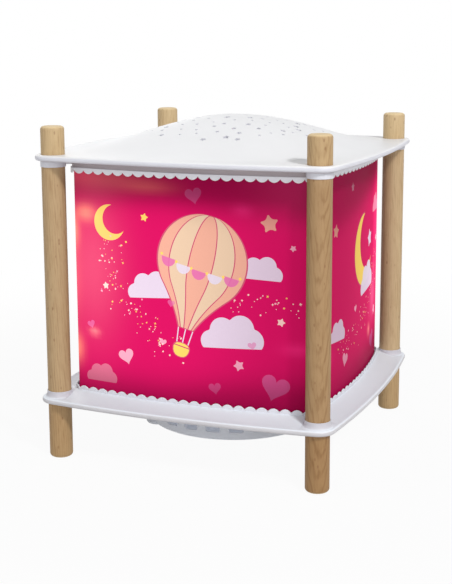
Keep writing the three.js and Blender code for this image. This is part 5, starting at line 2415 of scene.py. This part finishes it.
@dataclass
class LampHousing:
    """Round white dish under the base plate, with vents, a thumb tab, bosses and two fitting pads."""

    top_radius: float = 51.5
    bottom_radius: float = 49.0
    bottom: float = 10.0
    top: float = 30.7
    wall: float = 2.0
    floor: float = 2.0
    rounding: float = 2.4
    vent_count: int = 24
    vent_size: Pair = (8.6, 8.0)
    vent_reach: Pair = (44.0, 54.0)
    vent_height: float = 19.0
    vent_blank: float = 46.0
    vent_round: float = 1.2
    tab_azimuth: float = 221.0
    tab_size: Triple = (3.4, 13.0, 3.4)
    boss_azimuths: tuple[float, ...] = (30.0, 150.0, 270.0)
    boss_place: float = 34.0
    boss_radius: float = 4.0
    boss_top: float = 28.0
    pilot_radius: float = 1.8
    pilot_bottom: float = 19.0
    pad_azimuths: Pair = (71.0, 109.0)
    pad_face: float = 52.7
    pad_back: float = 47.7
    pad_size: Pair = (21.0, 14.0)
    pad_round: float = 0.8
    fitting_height: float = 20.5
    inlet_hole: float = 5.7
    switch_hole: Pair = (15.2, 10.0)
    edge: float = 0.3
    floor_ring: float = 17.0
    hollow_round: float = 1.2
    floor_vent_count: int = 8
    floor_vent_size: Pair = (13.0, 4.0)
    floor_vent_place: float = 20.0
    sides: int = 144

    def make(self, workshop: Workshop) -> None:
        """Makes the housing and hands it in.

        Args:
            workshop: The materials, and the calls that hand a piece in.
        """
        piece = self._outside().build("vented_lamp_housing", workshop.materials[Slot.HOUSING])
        carve(piece, self._pads(), Carving.JOIN)
        carve(piece, self._tab(), Carving.JOIN)
        carve(piece, self._cavity(), Carving.CUT)
        carve(piece, self._bosses(), Carving.JOIN)
        carve(piece, self._holes(), Carving.CUT)
        self._vent(piece)
        self._vent_floor(piece)
        tidy(piece)
        workshop.hand_in(piece, Body.LAMP, Slot.HOUSING, "lamp_housing")

    def _outside(self) -> Shape:
        """Solid dish with a rounded foot and a bevelled top edge.

        Returns:
            The closed dish.
        """
        soft = self.rounding
        foot = arc((self.bottom_radius - soft, self.bottom + soft), soft, -90, 0, 8)
        return lathe([(0.0, self.bottom), (self.floor_ring, self.bottom), *foot,
                      (self.top_radius, self.top - self.edge), (self.top_radius - self.edge, self.top),
                      (0.0, self.top)], self.sides)

    def _cavity(self) -> Shape:
        """Hollow of the dish.

        Returns:
            The closed cutter.
        """
        low, soft = self.bottom + self.floor, self.hollow_round
        reach = self.bottom_radius - self.wall - soft
        inner_top = self.top_radius - self.wall
        return lathe([(0.0, low), *arc((reach, low + soft), soft, -90, 0, 5), (inner_top, self.top),
                      (inner_top, self.top + 1), (0.0, self.top + 1)], self.sides)

    def _pads(self) -> Shape:
        """Flat pads that carry the inlet and the switch."""
        return self._upright(self.pad_back, self.pad_face, self.pad_size, self.pad_round, 3).round_axis(
            *self.pad_azimuths)

    def _upright(self, back: float, face: float, size: Pair, radius: float, steps: int) -> Shape:
        """Box about the fittings' height, between two distances from the axis.

        Args:
            back: The nearer distance.
            face: The farther distance.
            size: Width and height.
            radius: Radius of the edges.
            steps: Chords of a quarter round.

        Returns:
            The closed box.
        """
        width, height = size
        return rounded_box((back, -width / 2, self.fitting_height - height / 2),
                           (face, width / 2, self.fitting_height + height / 2), radius, steps)

    def _tab(self) -> Shape:
        """Thumb tab on the lower rim.

        Returns:
            The closed tab.
        """
        reach, width, height = self.tab_size
        radius, soft = width / 2, height * 0.48
        low, high = self.bottom, self.bottom + height
        tab = lathe([(0, low), *arc((radius - soft, low + soft), soft, -90, 0, 6),
                     *arc((radius - soft, high - soft), soft, 0, 90, 6), (0, high)], 56)
        return tab.shifted(self.bottom_radius + reach - radius, 0).turned(self.tab_azimuth)

    def _bosses(self) -> Shape:
        """Screw bosses inside, a little wider at their foot.

        Returns:
            Three closed bosses.
        """
        low = self.bottom + self.floor / 2
        boss = lathe([(0, low), (self.boss_radius + 0.5, low), (self.boss_radius, low + 3),
                      (self.boss_radius, self.boss_top), (0, self.boss_top)], 36)
        return boss.shifted(self.boss_place, 0).round_axis(*self.boss_azimuths)

    def _holes(self) -> Shape:
        """Cutters of the screw pilots, the inlet's hole and the switch's hole.

        Returns:
            The closed cutters.
        """
        pilot = rod(self.pilot_radius, self.pilot_bottom, self.boss_top + 1, 28)
        inlet = rod(self.inlet_hole, self.pad_back - 7, self.pad_face + 1, 48).moved(
            Matrix.Translation((0, 0, self.fitting_height)) @ LYING)
        switch = self._upright(self.pad_back - 5, self.pad_face + 1, self.switch_hole, 0.4, 2)
        return gathered([pilot.shifted(self.boss_place, 0).round_axis(*self.boss_azimuths),
                         inlet.turned(self.pad_azimuths[0]), switch.turned(self.pad_azimuths[1])])

    def _vent(self, piece: Object) -> None:
        """Cuts the row of rounded vents through the wall, but for the rear stretch.

        Args:
            piece: The object that changes.
        """
        width, height = self.vent_size
        tree = Tree("housing_vents", {
            "Count": self.vent_count, "Width": width * MM, "Height": height * MM,
            "Centre Height": self.vent_height * MM, "Rounding": self.vent_round * MM,
            "Inner Radius": self.vent_reach[0] * MM, "Outer Radius": self.vent_reach[1] * MM,
            "Blank Angle": math.radians(self.vent_blank)})
        angle = (tree.index() + 0.5) * (2 * math.pi / self.vent_count)
        profile = tree.rounded(tree.given("Height"), tree.given("Width"), tree.given("Rounding"), 4)
        tool = tree.bar(profile, tree.vector(tree.given("Inner Radius")),
                        tree.vector(tree.given("Outer Radius")))
        off_rear = tree.node("FunctionNodeCompare", {"data_type": "FLOAT", "operation": "GREATER_THAN"},
                             {0: abs(angle - math.pi / 2), 1: tree.given("Blank Angle")})
        tools = tree.copies(tree.vector(z=tree.given("Centre Height")), tool, tree.vector(z=angle),
                            chosen=off_rear.outputs[0])
        tree.apply(piece, tree.carved(tools, Carving.CUT))

    def _vent_floor(self, piece: Object) -> None:
        """Cuts the star of slots through the floor.

        Args:
            piece: The object that changes.
        """
        length, width = self.floor_vent_size
        tree = Tree("floor_vents", {
            "Count": self.floor_vent_count, "Length": length * MM, "Width": width * MM,
            "Centre": self.floor_vent_place * MM, "Low": (self.bottom - 1) * MM,
            "High": (self.bottom + self.floor + 1) * MM})
        angle = tree.index() * (2 * math.pi / self.floor_vent_count)
        profile = tree.rounded(tree.given("Length"), tree.given("Width"), tree.given("Width") * 0.49, 6)
        place = tree.vector(tree.given("Centre") * angle.cosine(), tree.given("Centre") * angle.sine())
        tools = tree.copies(place, tree.upright_bar(profile), tree.vector(z=angle))
        tree.apply(piece, tree.carved(tools, Carving.CUT))


def soft_prism(outline: Sequence[Pair], middle: Pair, low: float, high: float,
               soft: float) -> Shape:
    """Upright prism with bevelled ends.

    Args:
        outline: Its outline, counterclockwise.
        middle: A point that sees the whole outline.
        low: Height of its lower end.
        high: Height of its upper end.
        soft: Size of the bevels.

    Returns:
        The closed prism.
    """
    reach = max(math.dist(point, middle) for point in outline)

    def ring(height: float, share: float) -> list[Vector]:
        """Outline at a height, drawn towards the middle."""
        return [Vector((middle[0] + (x - middle[0]) * share, middle[1] + (y - middle[1]) * share, height))
                for x, y in outline]

    drawn = 1 - soft / reach
    return skin([[Vector((*middle, low))], ring(low, drawn), ring(low + soft, 1), ring(high - soft, 1),
                 ring(high, drawn), [Vector((*middle, high))]])


@dataclass
class Fittings:
    """Power inlet and rocker switch on the housing's rear pads."""

    face: float = 52.8
    height: float = 20.5
    inlet_azimuth: float = 71.0
    switch_azimuth: float = 109.0
    barrel_radius: float = 5.4
    flange_radius: float = 6.6
    flange_thickness: float = 1.3
    depth: float = 11.0
    bore_radius: float = 3.0
    bore_depth: float = 9.0
    pin_radius: float = 0.9
    pin_length: float = 7.5
    bezel: Pair = (16.6, 11.4)
    body: Triple = (14.6, 9.4, 9.0)
    shell: float = 0.7
    rocker_length: float = 11.6
    rocker_depth: float = 4.4
    rocker_crest: float = 1.1
    rocker_tilt: float = 7.0
    pivot_depth: float = 2.6
    rocker_half_height: float = 3.65
    mark_radius: float = 0.85
    mark_width: float = 0.25
    mark_lifts: Pair = (-0.1, 0.05)

    def make(self, workshop: Workshop) -> None:
        """Makes inlet, pin, switch frame, rocker and marks, and hands them in.

        Args:
            workshop: The materials, and the calls that hand a piece in.
        """
        tilt = Matrix.Translation((self.flange_thickness - self.pivot_depth, 0, 0)) @ Matrix.Rotation(
            math.radians(self.rocker_tilt), 4, "Z")
        inlet, switch = self.inlet_azimuth, self.switch_azimuth
        for name, shape, body, slot, *nodes in (
                ("inlet_socket", self._set(self._socket().moved(LYING), inlet), Body.LAMP, Slot.BLACK,
                 "power_inlet"),
                ("inlet_pin", self._set(self._pin().moved(LYING), inlet), Body.LAMP, Slot.STEEL),
                ("switch_bezel", self._set(self._bezel(), switch), Body.LAMP, Slot.HOUSING, "switch_frame"),
                ("switch_rocker_cap", self._set(self._rocker().moved(tilt), switch), Body.ROCKER, Slot.ROCKER,
                 "switch_rocker"),
                ("rocker_marks", self._set(self._marks().moved(tilt), switch), Body.ROCKER, Slot.BLACK)):
            piece = shape.build(name, workshop.materials[slot])
            if slot is Slot.HOUSING:
                self._add_switch_body(piece)
            workshop.hand_in(piece, body, slot, *nodes)

    def _add_switch_body(self, frame: Object) -> None:
        """Joins the switch's body to its bezel and hollows both.

        Args:
            frame: The bezel.
        """
        carve(frame, self._set(self._box(0.0, self.flange_thickness / 2), self.switch_azimuth), Carving.JOIN)
        carve(frame, self._set(self._box(self.shell, self.flange_thickness + 1), self.switch_azimuth),
              Carving.CUT)
        tidy(frame)

    def _set(self, shape: Shape, azimuth: float) -> Shape:
        """Shape moved from the middle of a pad's face to its place."""
        return shape.shifted(self.face, 0, self.height).turned(azimuth)

    def _socket(self) -> Shape:
        """Flanged barrel with a countersunk bore, upright.

        Returns:
            The closed barrel.
        """
        face, back = self.flange_thickness, -self.depth
        floor, throat, soft = face - self.bore_depth, face - 0.25, 0.45
        return lathe([(0, back), (self.barrel_radius - 0.4, back), (self.barrel_radius, back + 0.4),
                      (self.barrel_radius, 0), (self.flange_radius, 0),
                      *arc((self.flange_radius - soft, face - soft), soft, 0, 90, 5),
                      (self.bore_radius + 1.5, face), (self.bore_radius + 1.3, throat),
                      (self.bore_radius + 0.45, throat), (self.bore_radius, face - 0.7),
                      (self.bore_radius, floor), (0, floor)], 64)

    def _pin(self) -> Shape:
        """Contact pin with a round tip, upright.

        Returns:
            The closed pin.
        """
        root = self.flange_thickness - self.bore_depth
        tip = root + self.pin_length
        return lathe([(0, root), (self.pin_radius, root),
                      *arc((0, tip - self.pin_radius), self.pin_radius, 0, 90, 6)[:-1], (0, tip)], 28)

    def _bezel(self) -> Shape:
        """Soft-edged plate of the switch frame.

        Returns:
            The closed plate.
        """
        width, height = self.bezel
        return rounded_box((0, -width / 2, -height / 2), (self.flange_thickness, width / 2, height / 2),
                           0.5, 4)

    def _box(self, inset: float, front: float) -> Shape:
        """Body of the switch, or its hollow when drawn in.

        Args:
            inset: How far it is drawn in.
            front: Where it ends towards the front.

        Returns:
            The closed box.
        """
        width, height, depth = self.body
        back = self.flange_thickness - depth + inset
        return rounded_box((back, inset - width / 2, inset - height / 2),
                           (front, width / 2 - inset, height / 2 - inset), 0.2, 2)

    def _top(self, y: float) -> float:
        """Distance of the rocker's dished top from its pivot.

        Args:
            y: Place along the rocker, from its middle.

        Returns:
            The distance.
        """
        share = min(abs(y) / (self.rocker_length / 2), 1.0)
        low = self.pivot_depth - 0.25 * self.rocker_crest
        return low + (self.pivot_depth + self.rocker_crest - low) * share ** 2

    def _rocker(self) -> Shape:
        """Dished rocker about its pivot.

        Returns:
            The closed rocker.
        """
        half, back = self.rocker_length / 2, self.pivot_depth - self.rocker_depth
        rows = [half - 0.35 - (2 * half - 0.7) * i / 18 for i in range(19)]
        outline = [(back, -0.7 * half), (0.0, -half), (self._top(half) - 0.4, -half),
                   *((self._top(y), y) for y in reversed(rows)), (self._top(half) - 0.4, half), (0.0, half),
                   (back, 0.7 * half)]
        return soft_prism(outline, (0.5, 0.0), -self.rocker_half_height, self.rocker_half_height, 0.3)

    def _marks(self) -> Shape:
        """Circle and bar on the rocker's two ends, which follow its dish.

        Returns:
            The closed circle and the closed bar.
        """
        place, half, radius = self.rocker_length * 0.31, self.mark_width, self.mark_radius
        sunk, raised = self.mark_lifts

        def laid(middle: float, outline: Sequence[Pair], lift: float) -> list[Vector]:
            """Outline on the dish about a place, in points of height and length."""
            return [Vector((self._top(middle + y) + lift, middle + y, z)) for z, y in outline]

        inner = radius - 0.3
        rings = [laid(place, arc((0, 0), reach, 0, 360, 28)[:-1], lift)
                 for reach, lift in ((inner, sunk), (radius, sunk), (radius, raised), (inner, raised))]
        bar = [(-radius, -half), (radius, -half), (radius, half), (-radius, half)]
        layers = [laid(-place, outline, lift) for outline, lift in (
            ([(0, 0)], sunk), (bar, sunk), (bar, raised), ([(0, 0)], raised))]
        return gathered([skin(rings, wrap=True), skin(layers)])


@dataclass
class Turbine:
    """Bladed top of the drum, which warm air turns."""

    top: float = 150.6
    rim_radius: float = 55.45
    rim_thickness: float = 1.8
    rim_height: float = 3.2
    hub_radius: float = 7.0
    hub_height: float = 3.4
    bore_radius: float = 3.3
    blade_count: int = 12
    blade_chord: float = 12.0
    blade_thickness: float = 0.7
    blade_pitch: float = 28.0
    edge: float = 0.3
    crown: float = 0.8

    def make(self, workshop: Workshop) -> None:
        """Makes the turbine and hands it in.

        Args:
            workshop: The materials, and the calls that hand a piece in.
        """
        low, foot = self.top - self.rim_height, self.top - self.hub_height
        outer, edge, crown = self.rim_radius, self.edge, self.crown
        inner = outer - self.rim_thickness
        rim = lathe([(inner, low), (outer - edge, low), (outer, low + edge), (outer, self.top - edge),
                     (outer - edge, self.top), (inner, self.top)], 144)
        hub = lathe([(0, foot), (self.hub_radius - edge, foot), (self.hub_radius, foot + edge),
                     *arc((self.hub_radius - crown, self.top - crown), crown, 0, 90, 5), (0, self.top)], 64)
        piece = rim.add(hub).build("bladed_turbine", workshop.materials[Slot.ALUMINIUM])
        self._blade(piece)
        carve(piece, rod(self.bore_radius, foot - 9, self.top + 9, 40), Carving.CUT)
        tidy(piece)
        workshop.hand_in(piece, Body.DRUM, Slot.ALUMINIUM, "drum_turbine")

    def _blade(self, piece: Object) -> None:
        """Joins the ring of pitched blades.

        Args:
            piece: The object that changes.
        """
        tree = Tree("turbine_blades", {
            "Count": self.blade_count, "Chord": self.blade_chord * MM, "Thickness": self.blade_thickness * MM,
            "Pitch": math.radians(self.blade_pitch), "Height": (self.top - self.rim_height / 2) * MM,
            "Inner": (self.hub_radius - 1) * MM, "Outer": (self.rim_radius - self.rim_thickness / 2) * MM})
        thickness = tree.given("Thickness")
        profile = tree.rounded(thickness, tree.given("Chord"), thickness * 0.45, 3)
        blade = tree.bar(profile, tree.vector(tree.given("Inner")), tree.vector(tree.given("Outer")))
        turn = tree.vector(x=tree.given("Pitch"), z=tree.index() * (2 * math.pi / self.blade_count))
        blades = tree.copies(tree.vector(z=tree.given("Height")), blade, turn)
        tree.apply(piece, tree.carved(blades, Carving.JOIN))


# Studio


@dataclass(frozen=True)
class Studio:
    """Pale floor, soft lamps and the camera."""

    focal_pixels: float = 1218.837
    frame_height: float = 584.0
    sensor: float = 36.0
    azimuth: float = 21.636
    elevation: float = 10.197
    distance: float = 688.884
    target_height: float = 110.224
    target_right: float = -4.374
    roll: float = -0.262
    shift_pixels: float = -49.395
    floor_half: float = 3.0
    floor_grey: float = 0.7
    shadow_reach: Pair = (0.16, 0.5)
    shadow_white: float = 0.94
    sky_colour: Triple = (0.97, 0.98, 1.0)
    sky_strength: float = 0.44
    aim: Triple = (0.0, 0.0, 0.09)

    def camera(self) -> None:
        """Sets the camera at the photograph's place."""
        azimuth, elevation = math.radians(self.azimuth), math.radians(self.elevation)
        right = Vector((math.cos(azimuth), math.sin(azimuth), 0))
        back = Vector((math.sin(azimuth) * math.cos(elevation), -math.cos(azimuth) * math.cos(elevation),
                       math.sin(elevation)))
        up = back.cross(right)
        target = Vector((0, 0, self.target_height)) + right * self.target_right
        place = (target + back * self.distance) * MM
        roll = math.radians(self.roll)
        turned_right = right * math.cos(roll) + up * math.sin(roll)
        turned_up = up * math.cos(roll) - right * math.sin(roll)
        data = bpy.data.cameras.new("camera")
        data.sensor_fit = "VERTICAL"
        data.sensor_height = self.sensor
        data.lens = self.focal_pixels / self.frame_height * self.sensor
        data.shift_y = self.shift_pixels / self.frame_height
        data.clip_start = 0.01
        camera = bpy.data.objects.new("camera", data)
        matrix = Matrix((turned_right, turned_up, back)).transposed().to_4x4()
        matrix.translation = place
        camera.matrix_world = matrix
        bpy.context.scene.collection.objects.link(camera)
        bpy.context.scene.camera = camera

    @staticmethod
    def _close(graph: Graph, output: str, plain: bpy.types.Node, white: str, share: Any = 1.0) -> None:
        """Closes a tree with what is white to the camera, a gloss or a glass.

        Args:
            graph: The node tree.
            output: Type of its output node.
            plain: What other rays find.
            white: Type of the node that makes the white.
            share: How white it is.
        """
        path = graph.node("ShaderNodeLightPath")
        seen = graph.number(path.outputs["Is Camera Ray"]) + graph.number(path.outputs["Is Glossy Ray"])
        seen = (seen + graph.number(path.outputs["Is Transmission Ray"])).least(1.0)
        bright = graph.node(white, None, {"Color": WHITE, "Strength": 1.0})
        mixed = graph.node("ShaderNodeMixShader", None,
                           {0: seen * share, 1: plain.outputs[0], 2: bright.outputs[0]})
        graph.node(output, None, {"Surface": mixed.outputs[0]})

    def floor(self) -> None:
        """Makes the pale floor, which shows white but for the object's soft shadow."""
        shader = Shader("studio_floor")
        matt = shader.node("ShaderNodeBsdfDiffuse", None, {"Color": (self.floor_grey,) * 3})
        x, y, _ = shader.parts(shader.place())
        far = (x * x + y * y).root().ramp(*self.shadow_reach)
        share = self.shadow_white + far * (1 - self.shadow_white)
        self._close(shader, "ShaderNodeOutputMaterial", matt, "ShaderNodeEmission", share)
        corners = [Vector((sx, sy, 0)) * self.floor_half for sx, sy in ((-1, -1), (1, -1), (1, 1), (-1, 1))]
        make_object("floor", corners, [(0, 1, 2, 3)], shader.material)

    def world(self) -> None:
        """Makes the world white to the camera and softly bright to the object."""
        world = bpy.data.worlds.new("studio")
        world.use_nodes = True
        world.node_tree.nodes.clear()
        graph = Graph(world.node_tree)
        soft = graph.node("ShaderNodeBackground", None,
                          {"Color": self.sky_colour, "Strength": self.sky_strength})
        self._close(graph, "ShaderNodeOutputWorld", soft, "ShaderNodeBackground")
        bpy.context.scene.world = world

    def lamp(self, name: str, place: Triple, size: float, power: float) -> None:
        """Adds a square soft lamp that faces the lantern.

        Args:
            name: Its name.
            place: Its place in metres.
            size: Its side in metres.
            power: Its power in watts.
        """
        data = bpy.data.lights.new(name, "AREA")
        data.size = size
        data.energy = power
        lamp = bpy.data.objects.new(name, data)
        lamp.location = place
        lamp.rotation_euler = (Vector(self.aim) - Vector(place)).to_track_quat("-Z", "Y").to_euler()
        bpy.context.scene.collection.objects.link(lamp)

    def make(self) -> None:
        """Builds the studio."""
        self.floor()
        self.world()
        self.lamp("key_lamp", (1.0, -0.8, 1.12), 0.2, 14.0)
        self.lamp("fill_lamp", (-1.0, -0.8, 0.5), 0.9, 1.3)
        self.lamp("front_lamp", (0.42, -1.05, 0.24), 0.8, 2.6)
        self.lamp("back_lamp", (-0.9, 0.95, 0.5), 0.9, 2.4)
        bpy.context.scene.view_settings.view_transform = "Standard"


def make_materials() -> dict[Slot, Material]:
    """Writes one material for each slot.

    Returns:
        The materials.
    """
    finishes = {
        Slot.BEECH: Beech(),
        Slot.MOULDING: PlateMoulding("white_moulding", (243, 243, 244), 0.42),
        Slot.HOUSING: LitMoulding("white_housing", (232, 235, 242), 0.45, 0.3, 0.01),
        Slot.SHADE: PrintedFilm("printed_shade"),
        Slot.DRUM: PrintedFilm("printed_drum", 0.6),
        Slot.STEEL: Metal("drawn_steel", (196, 198, 202), 0.28),
        Slot.ALUMINIUM: Metal("satin_aluminium", (212, 214, 217), 0.4, (2500.0, 2500.0, 2500.0)),
        Slot.BRASS: Metal("turned_brass", (212, 176, 98), 0.25),
        Slot.CERAMIC: Ceramic(),
        Slot.GLASS: Quartz(),
        Slot.BLACK: Moulding("black_plastic", (34, 34, 37), 0.42, 0.25, 0.012, 0.1),
        Slot.ROCKER: Moulding("polished_rocker", (240, 240, 242), 0.18, 0.6, 0.002, 0.02, 0.4),
        Slot.RED_LEAD: Moulding("red_insulation", (166, 50, 40), 0.5, 0.5, 0.01, 0.08),
        Slot.BLACK_LEAD: Moulding("black_insulation", (38, 38, 42), 0.5, 0.5, 0.01, 0.08),
    }
    return {slot: finish.make() for slot, finish in finishes.items()}


def main() -> None:
    """Builds every piece and the studio round the frame."""
    logging.basicConfig(level=logging.INFO, format="%(name)s: %(message)s")
    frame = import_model()
    studio = Studio()
    studio.camera()
    workshop = Workshop(make_materials(), frame["nodes"])
    Posts().make(workshop)
    Roof().make(workshop)
    BasePlate().make(workshop)
    Edging("lower_edging", "base_scalloped_band", 34.0, 5.2, 1, True).make(workshop)
    Edging("upper_edging", "roof_scalloped_band", 158.0, 3.1, -1, False).make(workshop)
    artwork = Artwork()
    sides = [artwork.left(), artwork.front(), artwork.right(), artwork.back()]
    PrintedSheet("printed_shade_film", "shade_film", Body.FRAME, Slot.SHADE, SHADE_LINE, 1.7, 34.3, 161.8,
                 sides, artwork.lit).make(workshop)
    PrintedSheet("printed_drum_film", "drum_film", Body.DRUM, Slot.DRUM, Ring(56.25), 0.0, 41.0, 150.6,
                 artwork.drum(), artwork.drum_lit, step=3.6).make(workshop)
    LampHousing().make(workshop)
    Fittings().make(workshop)
    Turbine().make(workshop)
    workshop.dress(Slot.MOULDING, "drum_hoop")
    workshop.dress(Slot.ALUMINIUM, "lamp_stem")
    workshop.dress(Slot.BRASS, "pivot_cup")
    workshop.dress(Slot.STEEL, "needle_yoke", "pivot_needle", "deck_screw_1", "deck_screw_2", "deck_screw_3",
                   "stem_screw_1", "stem_screw_2", "bulb_pin_1", "bulb_pin_2")
    workshop.dress(Slot.HOUSING, "lamp_deck")
    workshop.dress(Slot.CERAMIC, "lamp_holder")
    workshop.dress(Slot.GLASS, "bulb_glass")
    workshop.dress(Slot.RED_LEAD, "inlet_lead", "bridge_lead")
    workshop.dress(Slot.BLACK_LEAD, "switch_lead")
    studio.make()


if __name__ == "__main__":
    main()
